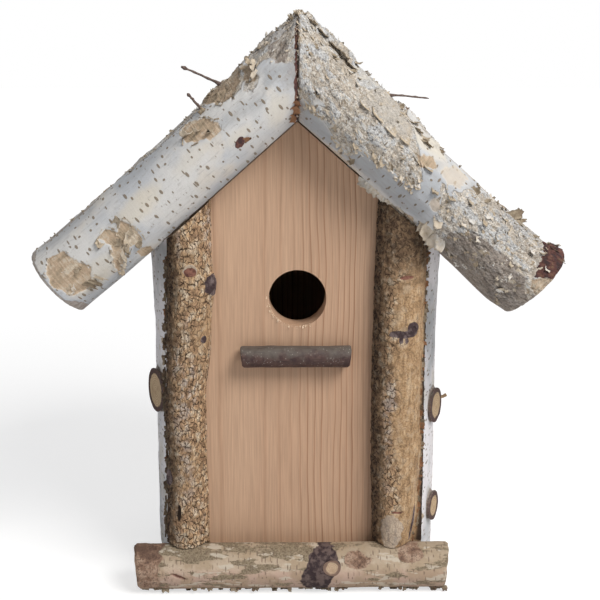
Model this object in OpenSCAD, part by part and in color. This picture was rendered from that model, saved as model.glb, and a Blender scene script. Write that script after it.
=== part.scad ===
// Bird nest box of pine boards, split birch and round birch logs.
// Millimetres. X is to the right, the front looks along -Y, and Z = 0 is the ground.

/* [Front and back boards] */
// How far the side walls' edges reach past the front and back boards
wall_lip = 1.5; // [0:0.5:4]
// Thickness of the front and back boards
board_t = 18; // [15:1:22]
// Height of the gables' points above the ground
apex_z = 261; // [250:1:285]
// Height of the front board's lower edge, which leaves room for the turn button
front_lift = 5.5; // [5:0.5:9]

/* [Nest room] */
// Width of the room between the side walls
room_w = 120; // [112:1:126]
// Depth of the room between the front and back boards
room_d = 120; // [110:1:126]

/* [Entrance and perch] */
// Diameter of the entrance hole
hole_d = 32; // [26:1:45]
// Height of the entrance hole's centre
hole_z = 164; // [150:1:180]
// Diameter of the perch
perch_d = 12.4; // [10:0.1:16]
// Length of the perch
perch_l = 62; // [50:1:80]
// Distance from the entrance hole's centre down to the perch's middle
perch_drop = 31.6; // [27:0.1:50]
// Depth of the flat that is planed on the back of the perch
perch_flat = 1.4; // [0.8:0.1:2.5]

/* [Roof] */
// Pitch of the roof in degrees
roof_pitch = 41.5; // [38:0.5:45]
// How far the roof stands out in front of the front board
roof_overhang = 30; // [24:0.5:36]
// Gap between roof logs that lie side by side
log_gap = 0.4; // [0.2:0.1:1.5]
// Depth of the flat that is planed under each roof log
log_flat = 2; // [1:0.5:4]
// How far the logs' middles reach out past the side walls, along the ground
eave_overhang = 43; // [34:0.5:52]
// How far the roof logs draw in at the middle of their length
log_waist = 0.8; // [0:0.1:2]
// How much smaller the roof logs' radius is at the eave than at the ridge
log_taper = 1.5; // [0:0.1:2]
// Thickness of the lining boards under the roof logs
lining_t = 10; // [8:0.5:14]

/* [Side walls] */
// Thickness of the split birch walls at their upright edges
wall_edge_t = 12; // [10:0.5:15]
// Thickness of the split birch walls in the middle
wall_mid_t = 27; // [22:0.5:32]
// How much the side walls swell out at their tops
wall_flare = 2.5; // [0:0.5:4]
// Angle by which the sawn branch stubs look round to the front
stub_turn = 26; // [16:1:36]

/* [Corner posts] */
// Width of the left post
left_post_w = 27; // [22:0.5:30]
// Width of the right post
right_post_w = 30; // [24:0.5:32]
// Thickness of the split posts
post_t = 15.5; // [12:0.5:18]
// Distance from the front board's edge in to the middle of the left post's foot
left_post_in = 8.1; // [6:0.1:16]
// How far the left post's head leans inwards
left_post_lean = 3; // [-2:0.5:4]
// Distance from the front board's edge in to the middle of the right post's foot
right_post_in = 16.7; // [12:0.1:19]
// How far the right post's head leans inwards
right_post_lean = -3; // [-4:0.5:2]

/* [Base log] */
// Diameter of the base log
base_d = 26; // [22:0.5:30]
// Depth of the flat that is planed on the back of the base log
base_flat = 3; // [2:0.5:5]
// Reach of the base log past the front board on the left
base_left_reach = 22.5; // [6:0.5:36]
// Reach of the base log past the front board on the right
base_right_reach = 15.5; // [6:0.5:36]

/* [Floor hatch] */
// Thickness of the floor hatch
hatch_t = 15; // [12:0.5:18]
// Clearance round the hatch at its front edge and its sides
hatch_gap = 1; // [0.6:0.1:2]
// Clearance behind the hatch's rounded rear edge
hatch_turn_gap = 0.5; // [0.3:0.1:1.5]
// Diameter of the drainage holes
drain_d = 6; // [4:0.5:10]
// Distance of the drainage holes from the middle of the hatch
drain_reach = 34; // [25:1:42]

/* [Turn button] */
// Length of the turn button
button_l = 40; // [32:1:46]
// Width of the turn button
button_w = 14; // [12:0.5:17]
// Thickness of the turn button
button_t = 4; // [3.5:0.1:4.5]
// Clearance between the turn button and what it turns against
button_gap = 0.3; // [0.2:0.1:0.5]
// Diameter of the turn button's screw
screw_d = 3.5; // [3:0.5:4]
// Length of the turn button's screw
screw_l = 20; // [16:1:30]

/* [Hanging hole] */
// Diameter of the hanging hole in the back board
hang_d = 8; // [5:0.5:12]
// Distance from the gable's point down to the hanging hole
hang_drop = 28; // [24:1:45]

/* [Nails] */
// Diameter of the thin nails
thin_nail_d = 2.2; // [1.8:0.1:2.6]
// Diameter of the thick nails
thick_nail_d = 2.8; // [2.4:0.1:3.2]
// Length of the nails that join the boards to the side walls
wall_nail_l = 45; // [35:1:60]
// Length of the nails that hold the corner posts
post_nail_l = 28; // [24:1:29]
// Length of the nails that hold the base log
base_nail_l = 35; // [28:1:37]
// Length of the nails that hold the perch
perch_nail_l = 27; // [24:1:27]
// Length of the nails from the outer roof logs into the gables
gable_nail_l = 65; // [58:1:75]
// Length of the nails from the inner roof logs into the lining
lining_nail_l = 50; // [46:1:50]
// Length of the nails from the lining into the side walls
eave_nail_l = 27; // [22:1:27]
// Length of the nails that the floor hatch turns on
hatch_nail_l = 50; // [40:1:60]

/* [Finish] */
// Depth of the hollows in the bark
bark_relief = 1.6; // [0:0.1:2]
// Gap between pieces that lie against each other
seat = 0.2; // [0.1:0.05:0.3]
// Clearance round nails and in the holes that things turn on
fit = 0.05; // [0.02:0.01:0.08]

/* [Hidden] */
$fn = 48;

LEFT = -1;
RIGHT = 1;
LOGS_A_SIDE = 4;

// Depth positions: the roof covers the boards and the room, and the logs are chosen to fill it
roof_l = roof_overhang + 2 * board_t + room_d;
log_d = (roof_l - (LOGS_A_SIDE - 1) * log_gap) / LOGS_A_SIDE;
log_r = log_d / 2;
log_pitch = log_d + log_gap;
rear_y = roof_l / 2;
room_back_y = rear_y - board_t;
room_front_y = room_back_y - room_d;
room_mid_y = (room_back_y + room_front_y) / 2;
front_y = room_front_y - board_t;
front_mid_y = front_y + board_t / 2;

// Width positions
board_w = room_w + 2 * wall_edge_t - 2 * wall_lip;
left_post_x = board_w / 2 - left_post_in;
right_post_x = board_w / 2 - right_post_in;
base_left = board_w / 2 + base_left_reach;
base_right = board_w / 2 + base_right_reach;

// Roof: heights above the slope of the gables are measured square to it
log_axis_h = log_r - log_flat + seat;
eave_reach = room_w / 2 + wall_mid_t + eave_overhang;
log_end_s = (eave_reach - log_axis_h * sin(roof_pitch)) / cos(roof_pitch);
lining_plumb = lining_t / cos(roof_pitch);

// Side walls: the outer face is an arc, as a slab sawn off a trunk has
wall_out_x = room_w / 2 + wall_mid_t;
wall_half = room_d / 2 - seat;
wall_bulge = wall_mid_t - wall_edge_t;
wall_arc_r = (wall_half * wall_half + wall_bulge * wall_bulge) / (2 * wall_bulge);

// Base log, perch and posts lie with a flat on the front board
face_y = front_y - seat;
base_axis_y = face_y - base_d / 2 + base_flat;
base_axis_z = base_d / 2;
perch_axis_y = face_y - perch_d / 2 + perch_flat;
perch_x = -1;
perch_z = hole_z - perch_drop;

// Floor hatch: its lower face is level with the front board's lower edge
hatch_mid_z = front_lift + hatch_t / 2;
hatch_pivot_y = room_back_y - hatch_turn_gap - hatch_t / 2;
hatch_front_y = room_front_y + hatch_gap;
hatch_w = room_w - 2 * hatch_gap;
hatch_head_x = wall_outside(hatch_pivot_y) - 1.5;

// Turn button: it hangs under the front board's lower edge
button_z = front_lift - button_gap - button_t;
screw_head_h = screw_d / 2;

// Nail places: the first and last nails of a row stand in from the ends of the piece
NAILS_IN_A_ROW = 3;
foot_nail_in = 45;
top_nail_in = 38;
wall_nail_x = room_w / 2 + wall_edge_t / 2;
wall_nail_heights = spread(foot_nail_in, slope_z(wall_nail_x) - lining_plumb - top_nail_in);
post_nail_x = room_w / 2 - 6;
post_nail_heights = spread(foot_nail_in, slope_z(post_nail_x) - top_nail_in);
base_nail_reach = 0.75 * room_w / 2;
perch_nail_reach = 0.29 * perch_l;
log_nail_xs = [28, 60];
log_nail_sink = 3;
gable_nail_in = 5;
eave_nail_in = 8;
eave_nail_x = wall_out_x - eave_nail_in;
eave_nail_off = 16;

// Heights of a row of nails, from the first to the last
function spread(first, last) =
    [for (i = [0:NAILS_IN_A_ROW - 1]) first + i * (last - first) / (NAILS_IN_A_ROW - 1)];

// Height of the gables' sloping edges at x
function slope_z(x) = apex_z - abs(x) * tan(roof_pitch);

// Outer face of a side wall at depth y
function wall_outside(y) =
    wall_out_x - wall_arc_r + sqrt(wall_arc_r * wall_arc_r - pow(y - room_mid_y, 2));

// Middle of roof log k, counted from the front
function log_y(k) = -rear_y + log_r + (k - 1) * log_pitch;

// Unevenness of the bark, from 0 to 1, at a distance along a log and an angle round it
function bark(along, around, seed) =
    0.5 + 0.22 * sin(along * 2.7 + seed * 71) + 0.16 * sin(around * 2 + along * 1.6 + seed * 40)
    + 0.12 * sin(around * 3 - along * 5.1 + seed * 133);

// Angles round a log from one edge of its planed flat to the other, where the flat is at 0
function flat_angles(r, flat, n) =
    let (edge = acos((r - flat) / r)) [for (j = [0:n - 1]) edge + j * (360 - 2 * edge) / (n - 1)];

// True at the first and last of n points, which lie on the flat's edges
function on_flat(j, n) = j == 0 || j == n - 1;

// A round swelling of height 1 whose width is w, for knots
function swelling(d2, w) = exp(-4 * d2 / (w * w));

// Closed body through rings that all have the same number of points
module loft(rings) {
    n = len(rings[0]);
    last = (len(rings) - 1) * n;
    sides = [for (i = [0:len(rings) - 2], j = [0:n - 1])
        let (a = i * n + j, b = i * n + (j + 1) % n)
        each [[a, b + n, b], [a, a + n, b + n]]];
    near_end = [for (j = [0:n - 1]) j];
    far_end = [for (j = [n - 1:-1:0]) last + j];
    polyhedron([for (ring = rings) each ring], concat(sides, [near_end, far_end]), convexity = 4);
}

// Extrudes an outline in X and Z between two depths
module between(y_near, y_far) {
    translate([0, y_far, 0]) rotate([90, 0, 0]) linear_extrude(y_far - y_near) children();
}

// Moves to the roof slope: X runs down the slope from the gable's point, Z stands off it
module on_slope(side) {
    mirror([side == LEFT ? 1 : 0, 0, 0])
        translate([0, 0, apex_z]) rotate([0, roof_pitch, 0]) children();
}

// A round nail driven along -Z, with the top of its head at Z = 0
module nail(d, l) {
    translate([0, 0, -l]) cylinder(h = 1.5 * d, r1 = d / 8, r2 = d / 2);
    translate([0, 0, 1.5 * d - l]) cylinder(h = l - 1.5 * d, d = d);
    translate([0, 0, -d / 2]) cylinder(h = d / 2, d = 2 * d);
}

// The hole that such a nail sits in, open above its head
module nail_hole(d, l, open = 1) {
    translate([0, 0, -l - fit]) cylinder(h = l, r = d / 2 + fit);
    translate([0, 0, -d / 2 - fit]) cylinder(h = d / 2 + fit + open, r = d + fit);
}

// Front and back boards

module gable_outline(bottom) {
    polygon([[-board_w / 2, bottom], [board_w / 2, bottom], [board_w / 2, slope_z(board_w / 2)],
        [0, apex_z], [-board_w / 2, slope_z(board_w / 2)]]);
}

module front_board() {
    color("#dcb487") difference() {
        between(front_y, room_front_y) gable_outline(front_lift);
        translate([0, front_y - 1, hole_z]) rotate([-90, 0, 0]) cylinder(h = board_t + 2, d = hole_d);
        translate([0, front_mid_y, button_z]) cylinder(h = screw_l + fit, r = screw_d / 2 + fit);
        at_front_wall_nails() nail_hole(thin_nail_d, wall_nail_l);
        at_post_nails() nail_hole(thin_nail_d, post_nail_l);
        at_base_nails() nail_hole(thin_nail_d, base_nail_l);
        at_perch_nails() nail_hole(thin_nail_d, perch_nail_l);
        for (side = [LEFT, RIGHT]) at_log_nails(side, 1) nail_hole(thick_nail_d, gable_nail_l);
    }
}

module back_board() {
    color("#d8b080") difference() {
        between(room_back_y, rear_y) gable_outline(0);
        translate([0, room_back_y - 1, apex_z - hang_drop]) rotate([-90, 0, 0])
            cylinder(h = board_t + 2, d = hang_d);
        at_back_wall_nails() nail_hole(thin_nail_d, wall_nail_l);
        for (side = [LEFT, RIGHT]) at_log_nails(side, LOGS_A_SIDE) nail_hole(thick_nail_d, gable_nail_l);
    }
}

// Side walls

wall_arc_points = 13;
wall_rings = 13;
stub_l = 9;
stub_root = 6.5;

// One ring of a right-hand wall at a share of its height; its top follows the roof slope
function wall_ring(share, seed) =
    let (y_near = room_mid_y - wall_half, y_far = room_mid_y + wall_half, inner = room_w / 2,
        arc = [for (i = [0:wall_arc_points - 1])
            let (y = y_near + i * (y_far - y_near) / (wall_arc_points - 1),
                soft = 1 - pow(2 * i / (wall_arc_points - 1) - 1, 8),
                x = wall_outside(y) + wall_flare * pow(share, 6)
                    - bark_relief * soft * bark(share * 190, y * 1.4, seed))
            [x, y]])
    [for (p = concat([[inner, y_near]], arc, [[inner, y_far]]))
        [p[0], p[1], share * (slope_z(p[0]) - lining_plumb - seat)]];

// A branch stub sawn off close to the bark, looking half to the front
module wall_stub(y, z, d) {
    translate([wall_outside(y) - stub_root, y, z]) rotate([0, 90, -stub_turn])
        cylinder(h = stub_l, d1 = d + 4, d2 = d);
}

// stubs is a list of [distance in front of the room's middle, height, diameter]
module side_wall(side, seed, stubs) {
    difference() {
        mirror([side == LEFT ? 1 : 0, 0, 0]) union() {
            loft([for (i = [0:wall_rings - 1]) wall_ring(i / (wall_rings - 1), seed)]);
            for (stub = stubs) wall_stub(room_mid_y - stub[0], stub[1], stub[2]);
        }
        at_front_wall_nails() nail_hole(thin_nail_d, wall_nail_l);
        at_back_wall_nails() nail_hole(thin_nail_d, wall_nail_l);
        at_hatch_nails() nail_hole(thick_nail_d, hatch_nail_l, 8);
        at_eave_nails(side) nail_hole(thin_nail_d, eave_nail_l);
    }
}

module left_side_wall() {
    color("#d9d8d6") side_wall(LEFT, 3, [[34, 100.6, 25]]);
}

module right_side_wall() {
    color("#d4d3d1") side_wall(RIGHT, 8, [[34, 90.5, 20], [36, 28, 17]]);
}

// Corner posts

post_points = 15;
post_rings = 22;

// One ring of a post, flat behind; knots is a list of [height, angle, width, swell]
function post_ring(share, w, foot_x, head_x, seed, knots) =
    let (foot_z = base_axis_z + 1, middle = foot_x + (head_x - foot_x) * share)
    [for (j = [0:post_points - 1])
        let (a = 180 * j / (post_points - 1),
            near_z = foot_z + share * (slope_z(middle) - foot_z),
            knot = [for (k = knots) k[3] * swelling(pow(near_z - k[0], 2)
                + pow((a - k[1]) * w / 115, 2), k[2])],
            swell = max(concat([0], knot)),
            hollow = sin(a) * 0.8 * bark_relief * bark(share * 190, a * 1.3, seed),
            x = middle - cos(a) * (w / 2 - hollow + swell))
        [x, face_y - sin(a) * (post_t - hollow + swell),
            foot_z + share * (slope_z(x) - seat - foot_z)]];

module corner_post(w, foot_x, head_x, seed, knots) {
    difference() {
        loft([for (i = [0:post_rings - 1])
            post_ring(i / (post_rings - 1), w, foot_x, head_x, seed, knots)]);
        translate([0, base_axis_y, base_axis_z]) rotate([0, 90, 0])
            cylinder(h = 2 * board_w, r = base_d / 2 + seat, center = true);
        at_post_nails() nail_hole(thin_nail_d, post_nail_l);
    }
}

module left_corner_post() {
    color("#b08a58") corner_post(left_post_w, -left_post_x, -left_post_x + left_post_lean, 2,
        [[173, 165, 16, 3.2], [64, 30, 13, 1.6], [110, 60, 12, 1]]);
}

module right_corner_post() {
    color("#a8814f") corner_post(right_post_w, right_post_x, right_post_x - right_post_lean, 6,
        [[148.4, 112, 14, 1.8], [88, 40, 14, 1.2]]);
}

// Base log

base_sides = 20;
base_rings = 24;

// One ring of the base log; the knot swells it, and the flat lies against the front board
function base_ring(share) =
    let (rim = share == 0 || share == 1 ? 1.2 : 0,
        x = -base_left + share * (base_left + base_right),
        angles = flat_angles(base_d / 2, base_flat, base_sides))
    [for (j = [0:base_sides - 1])
        let (a = angles[j],
            uneven = rim + 0.6 * bark_relief * bark(x * 1.5, a, 5)
                - 1.4 * swelling(pow(x - 14, 2), 24) * max(0, -cos(a)),
            r = base_d / 2 - (on_flat(j, base_sides) ? 0 : uneven))
        [x, base_axis_y + r * cos(a), base_axis_z + r * sin(a)]];

module base_log() {
    color("#c9b291") difference() {
        union() {
            loft([for (i = [0:base_rings - 1]) base_ring(i / (base_rings - 1))]);
            translate([18.7, base_axis_y, base_axis_z + 2]) rotate([82, 0, 0])
                cylinder(h = base_d / 2 + 0.8, d1 = 12, d2 = 9.5);
        }
        at_base_nails() nail_hole(thin_nail_d, base_nail_l);
    }
}

// Perch

perch_sides = 16;
perch_rings = 14;

function perch_ring(share) =
    let (rim = share == 0 || share == 1 ? 0.5 : 0,
        x = perch_x + (share - 0.5) * perch_l,
        angles = flat_angles(perch_d / 2, perch_flat, perch_sides))
    [for (j = [0:perch_sides - 1])
        let (a = angles[j],
            uneven = rim + 0.25 * bark_relief * bark(x * 3, a, 9)
                - 0.7 * swelling(pow(x + 22, 2), 8) * max(0, cos(a - 120)),
            r = perch_d / 2 - (on_flat(j, perch_sides) ? 0 : uneven))
        [x, perch_axis_y + r * cos(a), perch_z + r * sin(a)]];

module perch() {
    color("#5d4a49") difference() {
        loft([for (i = [0:perch_rings - 1]) perch_ring(i / (perch_rings - 1))]);
        at_perch_nails() nail_hole(thin_nail_d, perch_nail_l);
    }
}

// Roof lining

lining_in = 1;

// The lining's outer edge is sawn to the round of the side wall under it
module roof_lining(side) {
    near_x = seat / 2;
    difference() {
        mirror([side == LEFT ? 1 : 0, 0, 0]) intersection() {
            between(room_front_y + seat, room_back_y - seat)
                polygon([[near_x, slope_z(near_x)], [wall_out_x, slope_z(wall_out_x)],
                    [wall_out_x, slope_z(wall_out_x) - lining_plumb],
                    [near_x, slope_z(near_x) - lining_plumb]]);
            translate([wall_out_x - lining_in - wall_arc_r, room_mid_y, 0])
                cylinder(h = apex_z + 1, r = wall_arc_r);
        }
        at_eave_nails(side) nail_hole(thin_nail_d, eave_nail_l);
        for (k = [2:LOGS_A_SIDE - 1]) at_log_nails(side, k) nail_hole(thick_nail_d, lining_nail_l);
    }
}

module left_roof_lining() {
    color("#d2a877") roof_lining(LEFT);
}

module right_roof_lining() {
    color("#d2a877") roof_lining(RIGHT);
}

// Roof logs

log_sides = 24;
log_rings = 14;

// Radius of a roof log at a share of its length, where angle 0 is under it and 180 on top
function log_radius(share, angle, seed) =
    log_r - log_taper * share - log_waist * sin(180 * share)
    - bark_relief * bark(share * log_end_s, angle, seed);

// A point on the slope at radius r of a log that starts at the upright mitre and ends at the eave
function log_point(share, angle, r) =
    let (h = log_axis_h - r * cos(angle), start = (seat / 2 - h * sin(roof_pitch)) / cos(roof_pitch))
    [start + share * (log_end_s - start), r * sin(angle), h];

function log_ring(share, seed) =
    let (rim = share == 1 ? 1.2 : 0, angles = flat_angles(log_r, log_flat, log_sides))
    [for (j = [0:log_sides - 1])
        let (r = on_flat(j, log_sides) ? log_r : log_radius(share, angles[j], seed) - rim)
        log_point(share, angles[j], r)];

function log_shares() = concat([for (i = [0:log_rings - 2]) 0.99 * i / (log_rings - 2)], [1]);

function log_seed(side, k) = k + (side == LEFT ? 0 : 5.5);

module roof_log(side, k) {
    nail_l = k == 1 || k == LOGS_A_SIDE ? gable_nail_l : lining_nail_l;
    difference() {
        on_slope(side) translate([0, log_y(k), 0])
            loft([for (share = log_shares()) log_ring(share, log_seed(side, k))]);
        at_log_nails(side, k) nail_hole(thick_nail_d, nail_l, 6);
    }
}

module left_roof_log_1() {
    color("#d5d6d8") roof_log(LEFT, 1);
}

module left_roof_log_2() {
    color("#cfcdc9") roof_log(LEFT, 2);
}

module left_roof_log_3() {
    color("#d5d6d8") roof_log(LEFT, 3);
}

module left_roof_log_4() {
    color("#cfcdc9") roof_log(LEFT, 4);
}

module right_roof_log_1() {
    color("#cbc6bd") roof_log(RIGHT, 1);
}

module right_roof_log_2() {
    color("#d5d6d8") roof_log(RIGHT, 2);
}

module right_roof_log_3() {
    color("#cbc6bd") roof_log(RIGHT, 3);
}

module right_roof_log_4() {
    color("#d5d6d8") roof_log(RIGHT, 4);
}

// Thin dead shoots on the front logs: [side, share of the length, angle to the front, tip's shift]
shoots = [
    [LEFT, 0.26, 8, [22, -3, 22]],
    [LEFT, 0.36, 24, [5, -4, 17]],
    [RIGHT, 0.28, 0, [18, 4, 23]]
];
shoot_d = 1.8;

module roof_shoots() {
    color("#5a4536") for (shoot = shoots) {
        angle = 180 + shoot[2];
        r = log_radius(shoot[1], angle, log_seed(shoot[0], 1)) + 0.3 * shoot_d;
        on_slope(shoot[0]) translate([0, log_y(1), 0]) translate(log_point(shoot[1], angle, r))
            shoot_body(shoot[3]);
    }
}

// A tapered shoot from the origin to tip
module shoot_body(tip) {
    length = norm(tip);
    rotate([0, acos(tip[2] / length), atan2(tip[1], tip[0])])
        cylinder(h = length, d1 = shoot_d, d2 = shoot_d / 2);
}

// Floor hatch, turning on two nails near the back board

module floor_hatch() {
    color("#d6ad7a") difference() {
        translate([-hatch_w / 2, 0, 0]) rotate([90, 0, 90]) linear_extrude(hatch_w) union() {
            translate([hatch_front_y, front_lift]) square([hatch_pivot_y - hatch_front_y, hatch_t]);
            translate([hatch_pivot_y, hatch_mid_z]) circle(d = hatch_t);
        }
        for (x = [-1, 1], y = [-1, 1])
            translate([x * drain_reach, room_mid_y + y * drain_reach, front_lift - 1])
                cylinder(h = hatch_t + 2, d = drain_d);
        at_hatch_nails() nail_hole(thick_nail_d, hatch_nail_l);
    }
}

module hatch_nails() {
    color("#8c8f93") at_hatch_nails() nail(thick_nail_d, hatch_nail_l);
}

// Turn button and its screw

module turn_button() {
    reach = button_l - button_w;
    color("#c79d68") translate([0, front_mid_y, button_z]) difference() {
        linear_extrude(button_t) union() {
            circle(d = button_w);
            translate([0, -button_w / 2]) square([reach, button_w]);
            translate([reach, 0]) circle(d = button_w);
        }
        translate([0, 0, -1]) cylinder(h = button_t + 2, r = screw_d / 2 + fit);
        translate([0, 0, -fit]) cylinder(h = screw_head_h + fit, r1 = screw_d + 2 * fit, r2 = screw_d / 2 + fit);
    }
}

module turn_button_screw() {
    color("#9a9da1") translate([0, front_mid_y, button_z]) {
        cylinder(h = screw_head_h, r1 = screw_d, r2 = screw_d / 2);
        cylinder(h = screw_l - screw_d, d = screw_d);
        translate([0, 0, screw_l - screw_d]) cylinder(h = screw_d, r1 = screw_d / 2, r2 = screw_d / 8);
    }
}

// Nail places: each module puts its children at every nail of one joint

module at_front_wall_nails() {
    for (side = [LEFT, RIGHT], z = wall_nail_heights)
        translate([side * wall_nail_x, front_y, z]) rotate([90, 0, 0]) children();
}

module at_back_wall_nails() {
    for (side = [LEFT, RIGHT], z = wall_nail_heights)
        translate([side * wall_nail_x, rear_y, z]) rotate([-90, 0, 0]) children();
}

module at_post_nails() {
    for (side = [LEFT, RIGHT], z = post_nail_heights)
        translate([side * post_nail_x, room_front_y, z]) rotate([-90, 0, 0]) children();
}

module at_base_nails() {
    for (side = [LEFT, RIGHT])
        translate([side * base_nail_reach, room_front_y, base_axis_z]) rotate([-90, 0, 0]) children();
}

module at_perch_nails() {
    for (side = [LEFT, RIGHT])
        translate([perch_x + side * perch_nail_reach, room_front_y, perch_z]) rotate([-90, 0, 0]) children();
}

// An inner log is nailed through its middle, and an outer one where a gable board lies under it
function log_nail_y(k) =
    k == 1 ? front_y + gable_nail_in : k == LOGS_A_SIDE ? room_back_y + gable_nail_in : log_y(k);

module at_log_nails(side, k) {
    head_h = log_axis_h + sqrt(log_r * log_r - pow(log_nail_y(k) - log_y(k), 2)) - log_nail_sink;
    on_slope(side) for (x = log_nail_xs)
        translate([x / cos(roof_pitch), log_nail_y(k), head_h]) children();
}

module at_eave_nails(side) {
    on_slope(side) for (way = [-1, 1])
        translate([eave_nail_x / cos(roof_pitch), room_mid_y + way * eave_nail_off, 0]) children();
}

module at_hatch_nails() {
    for (side = [LEFT, RIGHT])
        translate([side * hatch_head_x, hatch_pivot_y, hatch_mid_z]) rotate([0, side * 90, 0]) children();
}

module front_wall_nails() {
    color("#8c8f93") at_front_wall_nails() nail(thin_nail_d, wall_nail_l);
}

module back_wall_nails() {
    color("#8c8f93") at_back_wall_nails() nail(thin_nail_d, wall_nail_l);
}

module post_nails() {
    color("#8c8f93") at_post_nails() nail(thin_nail_d, post_nail_l);
}

module base_log_nails() {
    color("#8c8f93") at_base_nails() nail(thin_nail_d, base_nail_l);
}

module perch_nails() {
    color("#8c8f93") at_perch_nails() nail(thin_nail_d, perch_nail_l);
}

module gable_nails() {
    color("#8c8f93") for (side = [LEFT, RIGHT], k = [1, LOGS_A_SIDE])
        at_log_nails(side, k) nail(thick_nail_d, gable_nail_l);
}

module lining_nails() {
    color("#8c8f93") for (side = [LEFT, RIGHT], k = [2:LOGS_A_SIDE - 1])
        at_log_nails(side, k) nail(thick_nail_d, lining_nail_l);
}

module eave_nails() {
    color("#8c8f93") for (side = [LEFT, RIGHT]) at_eave_nails(side) nail(thin_nail_d, eave_nail_l);
}

front_board();
back_board();
left_side_wall();
right_side_wall();
left_corner_post();
right_corner_post();
base_log();
perch();
left_roof_lining();
right_roof_lining();
left_roof_log_1();
left_roof_log_2();
left_roof_log_3();
left_roof_log_4();
right_roof_log_1();
right_roof_log_2();
right_roof_log_3();
right_roof_log_4();
roof_shoots();
floor_hatch();
hatch_nails();
turn_button();
turn_button_screw();
front_wall_nails();
back_wall_nails();
post_nails();
base_log_nails();
perch_nails();
gable_nails();
lining_nails();
eave_nails();
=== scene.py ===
import math
import random

import bmesh
import bpy
from mathutils import Matrix, Vector, noise


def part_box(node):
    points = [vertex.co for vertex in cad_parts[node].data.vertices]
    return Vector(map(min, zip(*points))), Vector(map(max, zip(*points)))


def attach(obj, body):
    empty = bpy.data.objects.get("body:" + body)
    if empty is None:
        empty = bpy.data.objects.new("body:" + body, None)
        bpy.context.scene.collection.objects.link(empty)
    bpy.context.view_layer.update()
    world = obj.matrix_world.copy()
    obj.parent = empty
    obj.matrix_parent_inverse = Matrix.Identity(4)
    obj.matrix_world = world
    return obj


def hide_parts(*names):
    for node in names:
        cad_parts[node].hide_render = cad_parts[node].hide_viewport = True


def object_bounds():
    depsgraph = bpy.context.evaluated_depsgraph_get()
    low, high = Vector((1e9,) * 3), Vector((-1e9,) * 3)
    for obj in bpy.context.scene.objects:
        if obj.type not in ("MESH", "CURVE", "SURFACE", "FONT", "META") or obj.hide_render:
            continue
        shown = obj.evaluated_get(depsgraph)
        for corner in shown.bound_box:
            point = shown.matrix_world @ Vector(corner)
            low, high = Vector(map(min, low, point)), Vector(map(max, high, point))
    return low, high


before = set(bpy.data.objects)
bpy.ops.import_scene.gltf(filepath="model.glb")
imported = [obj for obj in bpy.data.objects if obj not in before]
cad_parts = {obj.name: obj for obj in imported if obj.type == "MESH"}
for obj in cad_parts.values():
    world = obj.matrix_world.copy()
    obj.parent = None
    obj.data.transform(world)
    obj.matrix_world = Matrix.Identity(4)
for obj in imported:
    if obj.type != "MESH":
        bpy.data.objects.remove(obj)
cad_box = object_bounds()
bpy.context.scene.view_settings.view_transform = "Standard"

# Front and back boards.
# Two gabled boards of planed pine, sawn from near the middle of a tree, so their growth rings show as wide
# bands over the middle and close lines towards the edges. The front one has the entrance hole.
MM = 0.001
front_low, front_high = (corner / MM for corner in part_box("front_board"))
back_low, back_high = (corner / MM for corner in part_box("back_board"))
FACE_Y = front_low.y
APEX_Z = front_high.z
BOARD_HALF = front_high.x
RING_WIDTH = 2.3
FRONT_PITH = (-31, FACE_Y + 60, 0)
BACK_PITH = (21, back_high.y - 46, 0)
PINE_PALE = (0.515, 0.34, 0.228, 1)
PINE_LATE = (0.27, 0.125, 0.062, 1)


class Value:
    """A value or colour in a shader tree, to write sums with."""

    def __init__(self, socket):
        self.socket = socket
        self.tree = socket.id_data

    def __getitem__(self, output):
        return Value(self.socket.node.outputs[output])

    def __add__(self, other):
        return calc("ADD", self, other)

    def __sub__(self, other):
        return calc("SUBTRACT", self, other)

    def __rsub__(self, other):
        return calc("SUBTRACT", other, self)

    def __mul__(self, other):
        return calc("MULTIPLY", self, other)

    def __truediv__(self, other):
        return calc("DIVIDE", self, other)

    def __rtruediv__(self, other):
        return calc("DIVIDE", other, self)

    def __abs__(self):
        return calc("ABSOLUTE", self)


def fill(tree, sockets, inputs):
    """Joins or sets sockets."""
    for name, value in inputs.items():
        if isinstance(value, Value):
            tree.links.new(value.socket, sockets[name])
        else:
            sockets[name].default_value = value


def node(tree, kind, inputs=None, **settings):
    """The first output of a new shader node; the others are found by their names."""
    made = tree.nodes.new("ShaderNode" + kind)
    for name, value in settings.items():
        setattr(made, name, value)
    fill(tree, made.inputs, inputs or {})
    return Value(made.outputs[0])


def calc(operation, *values):
    """The result of a sum on one or two values, one of them at least from a tree."""
    tree = next(value.tree for value in values if isinstance(value, Value))
    return node(tree, "Math", dict(enumerate(values)), operation=operation)


def square(value):
    return value * value


def on_vector(operation, vector, other=(0, 0, 0)):
    """The result of a sum on a vector and another vector, or a number to SCALE it by."""
    socket = 3 if operation == "SCALE" else 1
    return node(vector.tree, "VectorMath", {0: vector, socket: other}, operation=operation)


def blend(share, first, second):
    """Two colours mixed by a share."""
    return node(share.tree, "Mix", {0: share, 6: first, 7: second}, data_type="RGBA")[2]


def painted(color, *coats):
    """A colour with coats on it, each a share and a colour."""
    for share, coat in coats:
        color = blend(share, color, coat)
    return color


def cloud(vector, scale, detail=2.0, roughness=0.5):
    """Soft random patches, from 0 to 1; three scales stretch them along the axes."""
    if isinstance(scale, tuple):
        vector, scale = on_vector("MULTIPLY", vector, scale), 1.0
    inputs = {"Vector": vector, "Scale": scale, "Detail": detail, "Roughness": roughness}
    return node(vector.tree, "TexNoise", inputs)


def step(value, low, high, to_low=0.0, to_high=1.0):
    """A soft step from one value to another as value goes from low to high."""
    inputs = {0: value, 1: low, 2: high, 3: to_low, 4: to_high}
    return node(value.tree, "MapRange", inputs, interpolation_type="SMOOTHSTEP")


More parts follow.
